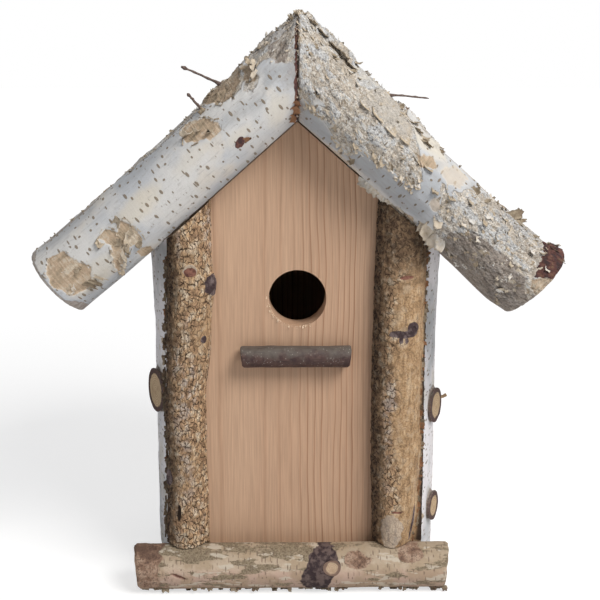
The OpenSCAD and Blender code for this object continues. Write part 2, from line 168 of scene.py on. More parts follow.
def ramp(value, *stops):
    """A colour that runs through stops, each a place and a colour or a grey."""
    made = node(value.tree, "ValToRGB", {0: value})
    bands = made.socket.node.color_ramp.elements
    while len(bands) < len(stops):
        bands.new(0.5)
    for band, (place, color) in zip(bands, stops):
        band.position = place
        band.color = color if isinstance(color, tuple) else (color, color, color, 1)
    return made


def new_group(name, inputs, outputs):
    """An empty shader node group, the values that it is given and the sockets that it fills."""
    group = bpy.data.node_groups.new(name, "ShaderNodeTree")
    group.interface.new_socket(name="Vector", in_out="INPUT", socket_type="NodeSocketVector")
    for label, value in inputs.items():
        kind = "NodeSocketColor" if isinstance(value, tuple) else "NodeSocketFloat"
        group.interface.new_socket(name=label, in_out="INPUT", socket_type=kind).default_value = value
    for label in outputs:
        kind = "NodeSocketColor" if label == "Color" else "NodeSocketFloat"
        group.interface.new_socket(name=label, in_out="OUTPUT", socket_type=kind)
    given = Value(group.nodes.new("NodeGroupInput").outputs[0])
    return group, given, group.nodes.new("NodeGroupOutput").inputs


def new_material(name):
    """A material that has only its shader yet."""
    material = bpy.data.materials.new(name)
    material.use_nodes = True
    return material, material.node_tree


def dress(tree, color, roughness, height, relief_mm, metallic=0.0, specular=0.35):
    """Joins colour, roughness and height to the material's own shader."""
    bump = node(tree, "Bump", {"Height": height, "Distance": relief_mm * MM, "Strength": 1.0})
    fill(tree, tree.nodes["Principled BSDF"].inputs, {
        "Base Color": color, "Roughness": roughness, "Normal": bump, "Metallic": metallic,
        "Specular IOR Level": specular})


# Sawn wood with its grain along Z and its pith on the Z axis, in metres
WOOD_GRAIN, given, wanted = new_group(
    "Wood grain", {"Ring Width": RING_WIDTH * MM, "Wander": 0.002, "Pale": PINE_PALE, "Late": PINE_LATE},
    ("Color", "Height"))
place = given["Vector"]
axes = node(WOOD_GRAIN, "SeparateXYZ", {0: place})
across = axes[0] + (cloud(place, (24, 24, 9)) - 0.5) * 2.0 * given["Wander"]
reach = calc("SQRT", square(across) + square(axes[1]))
years = reach / given["Ring Width"] + cloud(place, (70, 70, 12), 1.0) * 0.35
year = node(WOOD_GRAIN, "TexWhiteNoise", {"W": calc("FLOOR", years)}, noise_dimensions="1D")
late = ramp(calc("FRACT", years), (0.0, 0.2), (0.06, 0.0), (0.5, 0.07), (0.78, 0.22), (0.93, 1.0),
            (0.97, 0.8), (1.0, 0.2))
late = late * step(year, 0.0, 1.0, 0.4, 1.2) * step(abs(across) / reach, 0.2, 0.85, 0.7, 1.25)
fibre = cloud(place, (1100, 1100, 30), 3.0, 0.6)
broad = cloud(place, (16, 16, 5), 1.0)
color = painted(given["Pale"], (late * 0.8, given["Late"]),
                (step(broad, 0.35, 0.75, 0.0, 0.22), given["Late"]))
color = on_vector("SCALE", color, step(fibre, 0.25, 0.75, 0.86, 1.1))
fill(WOOD_GRAIN, wanted, {"Color": color, "Height": late * 0.4 + fibre})


def sawn_wood(name, pith, turn=(0, 0, 0), pale=PINE_PALE, late=PINE_LATE, ring=RING_WIDTH, wander=2.0):
    """Sawn wood whose pith passes through a point in mm; turn brings the grain upright."""
    material, tree = new_material(name)
    moved = on_vector("ADD", node(tree, "TexCoord")["Object"], [-value * MM for value in pith])
    turned = node(tree, "Mapping", {"Vector": moved, "Rotation": [math.radians(value) for value in turn]})
    inputs = {"Vector": turned, "Ring Width": ring * MM, "Wander": wander * MM, "Pale": pale, "Late": late}
    grain = node(tree, "Group", inputs, node_tree=WOOD_GRAIN)
    dress(tree, grain["Color"], step(grain["Height"], 0.2, 1.2, 0.74, 0.6), grain["Height"], 0.06)
    return material


def wear(cad_node, material):
    """Gives a CAD node its finish."""
    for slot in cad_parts[cad_node].material_slots:
        slot.material = material


wear("front_board", sawn_wood("front_pine", FRONT_PITH, wander=4.5))
wear("back_board", sawn_wood("back_pine", BACK_PITH))

# Side walls.
# Each wall is a slab sawn off a birch trunk, flat inside and rounded outside, with its white bark still on.
# Branches were sawn off close to the bark and left their stubs, which look half to the front.
ROOM_HALF = 60
ROOM_FRONT_Y = front_high.y
ROOM_BACK_Y = back_low.y
ROOM_MID_Y = (ROOM_FRONT_Y + ROOM_BACK_Y) / 2
PITCH = math.radians(41.5)
LINING_T = 10
SEAT = 0.2
WALL_EDGE_T = 12
WALL_MID_T = 27
WALL_HALF = (ROOM_BACK_Y - ROOM_FRONT_Y) / 2 - SEAT
WALL_ARC_R = (WALL_HALF ** 2 + (WALL_MID_T - WALL_EDGE_T) ** 2) / (2 * (WALL_MID_T - WALL_EDGE_T))
NO_MARKS = dict.fromkeys(("peel", "rough", "tone", "weather", "rust", "hollow"), 0.0)
END_RINGS = 6
BIRCH_WHITE = (0.58, 0.57, 0.555, 1)
BIRCH_BLUE = (0.46, 0.475, 0.50, 1)
BIRCH_CREAM = (0.60, 0.545, 0.47, 1)
LENTICEL = (0.185, 0.14, 0.09, 1)
PEEL_TAN = (0.45, 0.335, 0.235, 1)
PEEL_OLIVE = (0.33, 0.265, 0.185, 1)
PEEL_BROWN = (0.22, 0.155, 0.10, 1)
RUST = (0.21, 0.115, 0.075, 1)
RUST_DARK = (0.05, 0.027, 0.027, 1)
# Painted shade for the hollows, crevices and gaps of the bark
HOLLOW_SHADE = (0.03, 0.02, 0.015, 1)


def soft_step(low, high, value):
    """0 before low, 1 past high, with a soft rise between; low may be the higher."""
    share = min(1.0, max(0.0, (value - low) / (high - low)))
    return share * share * (3 - 2 * share)


def slope_z(x):
    """Height of the gables' slope at x."""
    return APEX_Z - abs(x) * math.tan(PITCH)


def wall_outside(y):
    """Distance of a side wall's outer face from the middle."""
    return ROOM_HALF + WALL_MID_T - WALL_ARC_R + math.sqrt(WALL_ARC_R ** 2 - (y - ROOM_MID_Y) ** 2)


def timber(name, around, rings, girth, axis, surface, bark_turn=1.0):
    """A closed body of timber: surface(share, turn) gives a point in mm and the marks of its bark.

    Its UV map is in metres, round the bark and along the axis, and from the pith outwards on the cut ends.
    Past bark_turn the sides are sawn, and have the second material as the ends do.
    """
    bm = bmesh.new()
    bmesh.ops.create_cone(bm, cap_ends=True, segments=around, radius1=1, radius2=1, depth=1)
    upright = [e for e in bm.edges if abs(e.verts[0].co.z - e.verts[1].co.z) > 0.5]
    bmesh.ops.subdivide_edges(bm, edges=upright, cuts=rings - 1)
    ends = [f for f in bm.faces if len(f.verts) == around]
    cut_faces = set()
    for _ in range(END_RINGS):
        inset = bmesh.ops.inset_individual(bm, faces=ends, thickness=0.9 / END_RINGS, depth=0)
        cut_faces.update(inset["faces"])
    cut_faces.difference_update(ends)
    cut_faces.update(bmesh.ops.poke(bm, faces=ends)["faces"])
    layers = {mark: bm.verts.layers.float.new(mark) for mark in NO_MARKS}
    uv = bm.loops.layers.uv.new("bark")
    cone = {v: (min(1.0, max(0.0, v.co.z + 0.5)), (math.atan2(v.co.y, v.co.x) / math.tau) % 1,
                min(1.0, math.hypot(v.co.x, v.co.y))) for v in bm.verts}
    middles = {}
    for end in (0.0, 1.0):
        middles[end] = sum((surface(end, part / 24)[0] for part in range(24)), Vector()) / 24
    reach = {}
    for vert, (share, turn, rho) in cone.items():
        point, marks = surface(share, turn)
        if rho < 0.999:
            end = round(share)
            reach[vert] = (point - middles[end]).length * rho
            point = middles[end].lerp(point, rho)
        elif share in (0.0, 1.0):
            reach[vert] = (point - middles[share]).length
        vert.co = point * MM
        for mark, value in marks.items():
            vert[layers[mark]] = value
    for face in bm.faces:
        on_end = face in cut_faces
        turns = [cone[loop.vert][1] for loop in face.loops]
        wraps = max(turns) - min(turns) > 0.5
        sawn = on_end or wraps and bark_turn < 1 or min(turns) > bark_turn - 0.001
        face.smooth = not sawn
        face.material_index = 1 if sawn else 0
        for loop, turn in zip(face.loops, turns):
            if on_end:
                out = reach[loop.vert]
                loop[uv].uv = (out * math.cos(turn * math.tau) * MM, out * math.sin(turn * math.tau) * MM)
            else:
                turn += 1 if wraps and turn < 0.5 else 0
                loop[uv].uv = (turn * girth * MM, loop.vert.co.dot(Vector(axis)))
    for edge in bm.edges:
        if len({face.material_index for face in edge.link_faces}) == 2:
            edge.smooth = False
    bmesh.ops.recalc_face_normals(bm, faces=bm.faces)
    return as_object(bm, name)


def as_object(bm, name):
    """Turns the finished mesh into an object of the scene."""
    mesh = bpy.data.meshes.new(name)
    bm.to_mesh(mesh)
    bm.free()
    made = bpy.data.objects.new(name, mesh)
    bpy.context.scene.collection.objects.link(made)
    return made


def fit(piece, slot, materials, *replaced):
    """Finishes a piece, lets it stand for CAD nodes, and lets it ride on the box."""
    for material in materials:
        piece.data.materials.append(material)
    if replaced:
        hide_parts(*replaced)
    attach(piece, "box")


# The short dark dashes that cross birch bark, on a vector of metres round and along it
LENTICELS, given, wanted = new_group(
    "Lenticels", {"Spacing": 0.005, "Length": 0.003, "Width": 0.0008, "Share": 0.6}, ("Mask",))
cells = on_vector("SCALE", given["Vector"], 1.0 / given["Spacing"])
cells = on_vector("MULTIPLY", cells, (1.0, 1.5, 0.0))
found = node(LENTICELS, "TexVoronoi", {"Vector": cells, "Scale": 1.0, "Randomness": 0.95},
             voronoi_dimensions="2D")
away = on_vector("MULTIPLY", on_vector("SUBTRACT", cells, found["Position"]), (1.0, 1 / 1.5, 0.0))
axes = node(LENTICELS, "SeparateXYZ", {0: on_vector("SCALE", away, given["Spacing"])})
luck = node(LENTICELS, "SeparateColor", {0: found["Color"]})
half_l = given["Length"] * step(luck[0], 0.0, 1.0, 0.22, 0.62)
half_w = given["Width"] * step(luck[1], 0.0, 1.0, 0.3, 0.62)
dash = step(square(axes[0] / half_l) + square(axes[1] / half_w), 1.25, 0.6)
fill(LENTICELS, wanted, {"Mask": dash * calc("GREATER_THAN", given["Share"], luck[2])})

# A net of fine cracks in bark, on the same vector, and a random value for each scale between them
BARK_CRACKS, given, wanted = new_group(
    "Bark cracks", {"Across": 0.003, "Along": 0.006, "Width": 0.1, "Bend": 0.0015}, ("Mask", "Scale"))
bend = node(BARK_CRACKS, "TexNoise", {"Vector": given["Vector"], "Scale": 330.0, "Detail": 3.0})["Color"]
bend = on_vector("SCALE", on_vector("SUBTRACT", bend, (0.5, 0.5, 0.5)), given["Bend"] * 3.0)
axes = node(BARK_CRACKS, "SeparateXYZ", {0: on_vector("ADD", given["Vector"], bend)})
cells = node(BARK_CRACKS, "CombineXYZ", {0: axes[0] / given["Across"], 1: axes[1] / given["Along"]})
split = node(BARK_CRACKS, "TexVoronoi", {"Vector": cells, "Scale": 1.0}, voronoi_dimensions="2D",
             feature="DISTANCE_TO_EDGE")["Distance"]
scale = node(BARK_CRACKS, "TexVoronoi", {"Vector": cells, "Scale": 1.0}, voronoi_dimensions="2D")["Color"]
fade = step(cloud(given["Vector"], 420.0, 3.0), 0.36, 0.55, 0.35, 1.0)
fill(BARK_CRACKS, wanted, {"Mask": step(split / given["Width"], 1.0, 0.3) * fade,
                           "Scale": node(BARK_CRACKS, "SeparateColor", {0: scale})})


def cracks(vector, across, along, width, bend):
    """A net of cracks with sizes in mm: their mask, and as Scale the random value of each scale."""
    inputs = {"Vector": vector, "Across": across * MM, "Along": along * MM, "Width": width, "Bend": bend * MM}
    return node(vector.tree, "Group", inputs, node_tree=BARK_CRACKS)


def lenticels(vector, spacing, length, width, share):
    """A layer of lenticels, with sizes in mm."""
    inputs = {"Vector": vector, "Spacing": spacing * MM, "Length": length * MM, "Width": width * MM,
              "Share": share}
    return node(vector.tree, "Group", inputs, node_tree=LENTICELS)


def mark_of(tree, mark):
    """How strongly a mark of the bark shows here, from the mesh."""
    return node(tree, "Attribute", attribute_type="GEOMETRY", attribute_name=mark)["Fac"]


def birch_bark(name, white):
    """White birch bark with lenticels, crusty layers, peeled and weathered places."""
    material, tree = new_material(name)
    place = node(tree, "TexCoord")["Object"]
    bark_uv = node(tree, "UVMap", uv_map="bark")
    fine = cloud(place, 1100, 4.0, 0.7)
    medium = cloud(place, 300, 4.0, 0.62)
    paper = cloud(bark_uv, (60, 1000, 1), 3.0, 0.6)
    grain = cloud(bark_uv, (620, 130, 1), 4.0, 0.65)
    streak = cloud(bark_uv, (80, 900, 1), 5.0, 0.7)
    tone, rough, peel = mark_of(tree, "tone"), mark_of(tree, "rough"), mark_of(tree, "peel")
    large = lenticels(bark_uv, 8.0, 3.4, 1.3, 0.8)
    smooth_bark = painted(
        white,
        (step(cloud(place, 30, 4.0), 0.42, 0.62), BIRCH_BLUE),
        (step(cloud(place, 55, 5.0), 0.52, 0.68, 0.0, 0.6), BIRCH_CREAM),
        # The blue places are painted a darker blue-grey: partly the bark's own blue-grey, partly painted
        # shade for the band along the logs' lower front sides
        (step(tone, 0.5, 0.0, 0.0, 0.85), (0.34, 0.355, 0.375, 1)),
        (step(tone, 0.5, 1.0, 0.0, 0.8), (0.6, 0.55, 0.465, 1)),
        (step(grain + (0.5 - tone) * 0.16, 0.5, 0.72, 0.0, 0.5), (0.34, 0.325, 0.32, 1)),
        (step(fine, 0.55, 0.75, 0.0, 0.3), (0.36, 0.33, 0.3, 1)),
        (lenticels(bark_uv, 4.5, 1.5, 0.6, 0.25) * 0.5, LENTICEL),
        (large * 0.85, LENTICEL))
    splits_and_edge_shade = calc("MAXIMUM", cracks(bark_uv, 2.3, 4.2, 0.12, 2.2), cracks(bark_uv, 1.1, 1.7, 0.16, 1.0) * 0.6)
    terrace = cloud(bark_uv, (190, 120, 1), 5.0, 0.66) * 15.0
    sheet = calc("FLOOR", terrace)
    # Painted shade: a dark line along each torn edge of the crust's layers, joined to the cracks
    splits_and_edge_shade = calc("MAXIMUM", splits_and_edge_shade * 0.45, step(calc("FRACT", terrace), 0.24, 0.02) * 0.85)
    sheet_tone = node(tree, "TexWhiteNoise", {"W": sheet}, noise_dimensions="1D")
    patches = cloud(bark_uv, (190, 120, 1), 3.0, 0.6) - 0.5
    uneven = tone * 0.7 + sheet_tone * 0.32 + (medium - 0.5) * 0.8 + patches * 1.5
    crust = painted(
        ramp(uneven, (0.0, (0.25, 0.21, 0.175, 1)), (0.16, (0.54, 0.485, 0.415, 1)),
             (0.34, (0.77, 0.735, 0.68, 1)), (0.48, (0.57, 0.485, 0.39, 1)), (0.62, (0.79, 0.73, 0.645, 1)),
             (0.78, (0.65, 0.66, 0.67, 1)), (1.0, (0.8, 0.79, 0.77, 1))),
        (step(fine, 0.52, 0.72, 0.0, 0.45), (0.3, 0.255, 0.21, 1)),
        (splits_and_edge_shade * 0.8, (0.15, 0.115, 0.09, 1)))
    crusty = step(rough + medium * 0.5, 0.55, 0.75)
    weather = step(mark_of(tree, "weather") + medium * 0.6, 0.55, 1.0)
    weathered = ramp(grain * 0.7 + fine * 0.4, (0.3, (0.115, 0.085, 0.07, 1)), (0.5, (0.27, 0.22, 0.185, 1)),
                     (0.75, (0.5, 0.455, 0.41, 1)))
    peeled = ramp(streak * 0.5 + medium * 0.4 + tone * 0.35, (0.42, PEEL_BROWN), (0.52, PEEL_OLIVE),
                  (0.64, PEEL_TAN), (0.8, (0.55, 0.475, 0.375, 1)), (0.95, (0.62, 0.575, 0.5, 1)))
    rusty = ramp(medium, (0.4, RUST_DARK), (0.53, (0.12, 0.05, 0.042, 1)), (0.7, RUST))
    color = painted(
        smooth_bark,
        (crusty, crust),
        (weather * 0.85, weathered),
        (step(peel, 0.35, 0.6), peeled),
        (step(peel, 0.02, 0.3) * step(peel, 0.62, 0.35) * 0.6, (0.58, 0.51, 0.42, 1)),
        (step(mark_of(tree, "rust") + fine * 0.5, 0.5, 0.85), rusty),
        # Painted shade: the hollow mark paints the dents, crevices and gaps near-black
        (mark_of(tree, "hollow"), HOLLOW_SHADE))
    height = fine * step(rough, 0.0, 0.6, 0.5, 1.8) + large * -0.5 + paper * 0.3 + streak * peel * 1.5
    height = height - splits_and_edge_shade * crusty * 1.2 + sheet * crusty * 0.35 + grain * weather * 1.3
    dress(tree, color, step(medium, 0.2, 0.8, 0.66, 0.85), height, 0.32, specular=0.25)
    return material


def cut_end(name, pale, dark, rim, ring, radius):
    """The sawn end of a round piece: growth rings about its pith, stains, and darker wood near the bark."""
    material, tree = new_material(name)
    end_uv = node(tree, "UVMap", uv_map="bark")
    waver = 2.2 * MM
    out = on_vector("LENGTH", end_uv)["Value"]
    season = calc("FRACT", (out + cloud(end_uv, 160) * waver) / (ring * MM))
    fine = cloud(end_uv, 2200, 3.0, 0.6)
    stain = cloud(end_uv, 260, 3.0, 0.6)
    color = painted(
        pale,
        (step(season, 0.35, 0.95, 0.0, 0.75), dark),
        (step(fine, 0.5, 0.75, 0.0, 0.45), dark),
        (step(stain, 0.45, 0.7, 0.0, 0.7), dark),
        (step(out + (stain - 0.5) * waver, (radius - 2.4) * MM, (radius - 1.5) * MM), rim))
    dress(tree, color, 0.85, season + fine, 0.12, specular=0.2)
    return material


BIRCH_BARK = birch_bark("birch_bark", BIRCH_WHITE)
# Painted light: the side walls' bark is a lighter copy of the logs' bark, to make up for the walls facing
# sideways to the lamps
SLAB_BARK_PAINTED_LIGHTER = birch_bark("slab_bark_painted_lighter", (0.74, 0.72, 0.75, 1))
SLAB_WOOD = (0.55, 0.40, 0.26, 1), (0.38, 0.25, 0.15, 1)
LOG_END = cut_end("birch_log_end", (0.55, 0.40, 0.26, 1), (0.36, 0.235, 0.14, 1), (0.16, 0.105, 0.07, 1),
                  2.1, 23)


def kept_in(point, margin=0.05):
    """The point in mm, moved into the box that the CAD's parts fill."""
    return Vector([min(max(value, low / MM + margin), high / MM - margin)
                   for value, low, high in zip(point, *cad_box)])


def wobble(point, size, seed):
    """Smooth noise from -1 to 1 whose patches are about size mm wide."""
    return noise.noise(point / size + Vector((seed * 17.3, seed * 5.1, seed * 9.7)))


def stretched(point, along, across, *moved):
    """A point measured in patches that are along and across mm long, and moved."""
    return Vector((point.x / along, point.y / across, point.z / across)) + Vector((*moved, 0))


def creases(point, along, across, seed):
    """1 in the creases that wander mainly along the bark, 0 between them."""
    probe = stretched(point, along, across, seed * 2.3, seed * 6.1)
    bent = probe + 0.55 * Vector((noise.noise(probe * 2), noise.noise(probe * 2 + Vector((7, 0, 0))), 0))
    return 1 - soft_step(0.02, 0.13, abs(noise.noise(bent)))


def layers(point, along, across, levels, seed):
    """Torn layers of bark: this layer's height, from 0 to 1, and how near its torn edge the point is."""
    probe = stretched(point, along, across, seed * 7.7, seed * 3.1)
    rise = (0.5 + 0.75 * noise.fractal(probe, 0.75, 2.1, 4)) * levels
    level = math.floor(rise)
    near = rise - level
    height = (level + soft_step(0.0, 0.22, near)) / levels
    return min(1.0, max(0.0, height)), 1 - soft_step(0.0, 0.3, near)


def scales(point, along, across, seed):
    """Scales of cracked bark: the height of this one, from 0 to 1, and how near its edge the point is."""
    distances, centres = noise.voronoi(stretched(point, along, across, seed * 7.7, seed * 3.1))
    height = 0.5 + 0.5 * noise.cell(centres[0] * 13.7)
    return height, 1 - soft_step(0.02, 0.3, distances[1] - distances[0])


def ring_point(x, r, angle):
    """The point at x, and at an angle and a radius round the X axis."""
    return Vector((x, r * math.cos(angle), r * math.sin(angle)))


def wall_surface(seed, side):
    """The slab's surface: the first 0.7 of a turn is the bark, the rest the sawn edges and inner face."""
    near, far, inner = ROOM_MID_Y - WALL_HALF, ROOM_MID_Y + WALL_HALF, ROOM_HALF
    sawn_back = wall_outside(far) - 0.9
    sawn_front = wall_outside(near) - 0.9

    def surface(share, turn):
        marks = dict(NO_MARKS)
        if turn < 0.7:
            y = near + (far - near) * turn / 0.7
            x = wall_outside(y)
            point = Vector((share * 190, y, seed * 40))
            edge = min(turn, 0.7 - turn) / 0.7
            hollow = 0.5 + 0.5 * wobble(point, 26, seed) + 0.3 * wobble(point, 7, seed)
            crust = soft_step(0.42, 0.56, wobble(point, 34, seed + 3))
            height, rim = scales(point, 5, 8, seed)
            hollow += crust * (0.5 * height + 0.4 * rim)
            peel = soft_step(0.62, 0.68, wobble(point, 21, seed + 5) + 0.25 * wobble(point, 5, seed))
            ragged = soft_step(0.035, 0.0, edge + 0.012 * wobble(point, 4, seed))
            x += 2.5 * share ** 6 - max(0.0, hollow + 0.5 * peel + 1.3 * ragged)
            marks.update(peel=peel, rough=crust, tone=0.6, weather=0.75 * ragged, rust=0.25 * ragged)
        elif turn < 0.74:
            y, x = far, sawn_back - (sawn_back - inner) * (turn - 0.7) / 0.04
        elif turn < 0.96:
            y, x = far - (far - near) * (turn - 0.74) / 0.22, inner
        else:
            y, x = near, inner + (sawn_front - inner) * (turn - 0.96) / 0.04
        under_roof = 0.8 if turn < 0.7 else LINING_T / math.cos(PITCH) + SEAT
        return Vector((side * x, y, share * (slope_z(x) - under_roof))), marks

    return surface


def stub_surface(side, before_mid, z, width, seed):
    """A sawn-off branch that leans forward out of the wall's bark, widest at its root."""
    y = ROOM_MID_Y - before_mid
    lean = math.radians(26)
    root = Vector((wall_outside(y) - 6.5, y, z))
    out = Vector((math.cos(lean), -math.sin(lean), 0))
    sideways = Vector((math.sin(lean), math.cos(lean), 0))

    def surface(share, turn):
        a = turn * math.tau
        flare = 1 + 0.5 * soft_step(0.9, 0.2, share) + 0.1 * soft_step(0.75, 0.95, share)
        probe = ring_point(share * 9, 6, a)
        r = width / 2 * flare - 0.6 + 0.6 * wobble(probe, 4, seed) + 0.35 * wobble(probe, 1.5, seed)
        point = root + out * (8.9 * share) + sideways * (r * math.cos(a)) + Vector((0, 0, r * math.sin(a)))
        point.x *= side
        sawn = {"weather": soft_step(0.35, 0.75, share), "rust": 0.45 * soft_step(0.5, 0.9, share)}
        return point, NO_MARKS | sawn | {"rough": 0.6, "tone": 0.2}

    return surface


LEFT, RIGHT = -1, 1
# A stub's place before the wall's middle, its height and its width
UPPER_STUB = 34, 90.5, 20
for side, wall, seed, stubs in ((LEFT, "left_side_wall", 3, [(34, 100.6, 25)]),
                                (RIGHT, "right_side_wall", 8, [UPPER_STUB, (36, 28, 17)])):
    slab = timber(wall + "_slab", 200, 200, 190, (0, 0, 1), wall_surface(seed, side), bark_turn=0.7)
    slab_wood = sawn_wood(wall + "_wood", (side * 38, ROOM_MID_Y, 0), (0, 0, 0), *SLAB_WOOD, 2.2)
    fit(slab, "birch_slab", [SLAB_BARK_PAINTED_LIGHTER, slab_wood], wall)
    for number, (before_mid, z, width) in enumerate(stubs, 1):
        stub = timber(f"{wall}_stub_{number}", 72, 20, math.pi * width, (1, 0, 0),
                      stub_surface(side, before_mid, z, width, seed + number))
        fit(stub, "birch_slab", [SLAB_BARK_PAINTED_LIGHTER, cut_end(f"{wall}_stub_end_{number}", (0.52, 0.39, 0.25, 1),
                                                    (0.33, 0.22, 0.13, 1), (0.075, 0.045, 0.04, 1), 1.4,
                                                    width / 2 - 0.6)])

# Roof lining.
# Thin sawn boards on the side walls, under the logs, that close the roof. Their grain runs front to back.
for side, lining in ((LEFT, "left_roof_lining"), (RIGHT, "right_roof_lining")):
    pith = (side * 40, 0, APEX_Z - 75)
    wear(lining, sawn_wood(lining + "_wood", pith, (90, 0, 0), (0.50, 0.33, 0.20, 1),
                           (0.32, 0.175, 0.10, 1), 3.4))

# Roof logs.
# Four thin birch logs a side lie on the gables and the lining, planed flat beneath and mitred at the ridge.
# The front pair has smooth white bark on the left, and crusty bark with peeled and torn places on the right.
LOGS_A_SIDE = 4
LOG_GAP = 0.4
ROOF_L = 186
LOG_R = (ROOF_L - (LOGS_A_SIDE - 1) * LOG_GAP) / LOGS_A_SIDE / 2
LOG_FLAT = 2
LOG_AXIS_H = LOG_R - LOG_FLAT + SEAT
LOG_END_S = (ROOM_HALF + WALL_MID_T + 43 - LOG_AXIS_H * math.sin(PITCH)) / math.cos(PITCH)
# How far the front logs reach above and below their middles in mm, from the ridge at 0 to the eaves at 1
FRONT_EDGES = {
    LEFT: ([(0, 22.2), (0.1, 22.0), (0.2, 20.8), (0.35, 20.0), (0.6, 19.2), (0.75, 19.8), (0.9, 20.8),
             (1, 21.6)], [(0, 21.1), (0.6, 21.1), (0.75, 20.8), (1, 19.8)]),
    RIGHT: ([(0, 23), (0.15, 22), (0.3, 22), (0.42, 20.8), (0.5, 18.4), (0.85, 18.0), (0.95, 19.6),
             (1, 21)], [(0, 21.1), (0.55, 21.1), (0.7, 23.4), (0.9, 24.6), (1, 23)]),
}


def between(stops, at):
    """The value at a place between stops of (place, value), with soft turns."""
    for (low, first), (high, second) in zip(stops, stops[1:]):
        if at <= high:
            return first + (second - first) * soft_step(low, high, at)
    return stops[-1][1]


def log_girth(side, k, share):
    """A roof log's radius in mm and how far its middle sags, before the bark's relief is taken off."""
    if k > 1:
        return LOG_R - 1.5 * share - 0.8 * math.sin(math.pi * share), 0.0
    above, below = (between(stops, share) for stops in FRONT_EDGES[side])
    return (above + below) / 2 + 0.35, (below - above) / 2


def log_place(side, k, share, angle, r):
    """A point in mm at radius r of roof log k; angle 0 is under it, 180 on top and 270 to the front."""
    turn = math.radians(angle)
    height = LOG_AXIS_H - log_girth(side, k, share)[1] - r * math.cos(turn)
    if math.cos(turn) > 0:
        over_edge = soft_step(71, 84, share * LOG_END_S * math.cos(PITCH)) if k == 1 else 0
        height = max(height, SEAT + (0.8 if k == 1 else 0) - 6 * over_edge)
    start = (SEAT / 2 - height * math.sin(PITCH)) / math.cos(PITCH)
    down = start + share * (LOG_END_S - start)
    x = down * math.cos(PITCH) + height * math.sin(PITCH)
    z = APEX_Z - down * math.sin(PITCH) + height * math.cos(PITCH)
    y = -ROOF_L / 2 + LOG_R + (k - 1) * (2 * LOG_R + LOG_GAP) + r * math.sin(turn)
    return kept_in((side * x, y, z))


def oval(share, angle, half_along, half_around, tilt=0):
    """The corners of an oval place on a log, with half lengths in mm and a tilt in degrees."""
    corners = []
    for corner in range(10):
        a, t = corner / 10 * math.tau, math.radians(tilt)
        along = half_along * math.cos(a) * math.cos(t) - half_around * math.sin(a) * math.sin(t)
        around = half_along * math.cos(a) * math.sin(t) + half_around * math.sin(a) * math.cos(t)
        corners.append((share + along / LOG_END_S, angle + math.degrees(around / LOG_R)))
    return corners


def flat_shape(corners):
    """A place's outline in mm along and round the log, and the box about it."""
    flat = [(share * LOG_END_S, math.radians(angle) * LOG_R) for share, angle in corners]
    alongs, arounds = zip(*flat)
    return flat, (min(alongs) - 3, max(alongs) + 3, min(arounds) - 3, max(arounds) + 3)


def past_edge(shape, along, around):
    """Distance in mm out of a place's outline, below 0 inside it."""
    flat, (low_along, high_along, low_around, high_around) = shape
    if not (low_along < along < high_along and low_around < around < high_around):
        return 9.0
    nearest, inside = 9.0, False
    for (ax, ay), (bx, by) in zip(flat, flat[1:] + flat[:1]):
        ex, ey, px, py = bx - ax, by - ay, along - ax, around - ay
        t = min(1.0, max(0.0, (px * ex + py * ey) / (ex * ex + ey * ey)))
        nearest = min(nearest, math.hypot(px - t * ex, py - t * ey))
        if (ay > around) != (by > around) and along < ax + ex * (around - ay) / ey:
            inside = not inside
    return -nearest if inside else nearest


# Places on the front logs: how strong the mark is, and the corners as shares of the length and angles
PATCH_1 = [(0.902, 238), (0.888, 256), (0.858, 285), (0.888, 305), (0.913, 310), (0.959, 303), (0.988, 272),
           (0.973, 250), (0.947, 233)]
PATCH_2 = [(0.7, 260), (0.675, 280), (0.669, 298), (0.678, 307), (0.712, 301), (0.764, 307), (0.771, 326),
           (0.791, 332), (0.803, 316), (0.765, 280), (0.788, 257), (0.758, 256), (0.725, 272)]
LEFT_OVAL = [(0.432, 212), (0.4, 211), (0.354, 227), (0.307, 250), (0.301, 261), (0.334, 262), (0.382, 252),
             (0.426, 238)]
LEFT_STRIP = [(0.212, 175), (0.215, 225), (0.245, 235), (0.284, 230), (0.334, 210), (0.36, 180),
              (0.307, 160)]
POCKET = [(0.3, 350), (0.33, 362), (0.4, 350), (0.516, 330), (0.54, 352), (0.47, 366), (0.36, 378)]
RIGHT_TOP = [(0.247, 235), (0.33, 183), (0.422, 215), (0.422, 238), (0.366, 245), (0.247, 246)]
RIGHT_MIDDLE = [(0.54, 238), (0.59, 200), (0.64, 200), (0.621, 238), (0.577, 244)]
RIGHT_END = [(0.951, 267), (0.996, 247), (1.01, 262), (0.996, 282), (0.961, 278)]
RED_END = [(0.925, 200), (0.966, 172), (1.02, 170), (1.02, 246), (0.965, 256), (0.948, 265), (0.943, 240)]
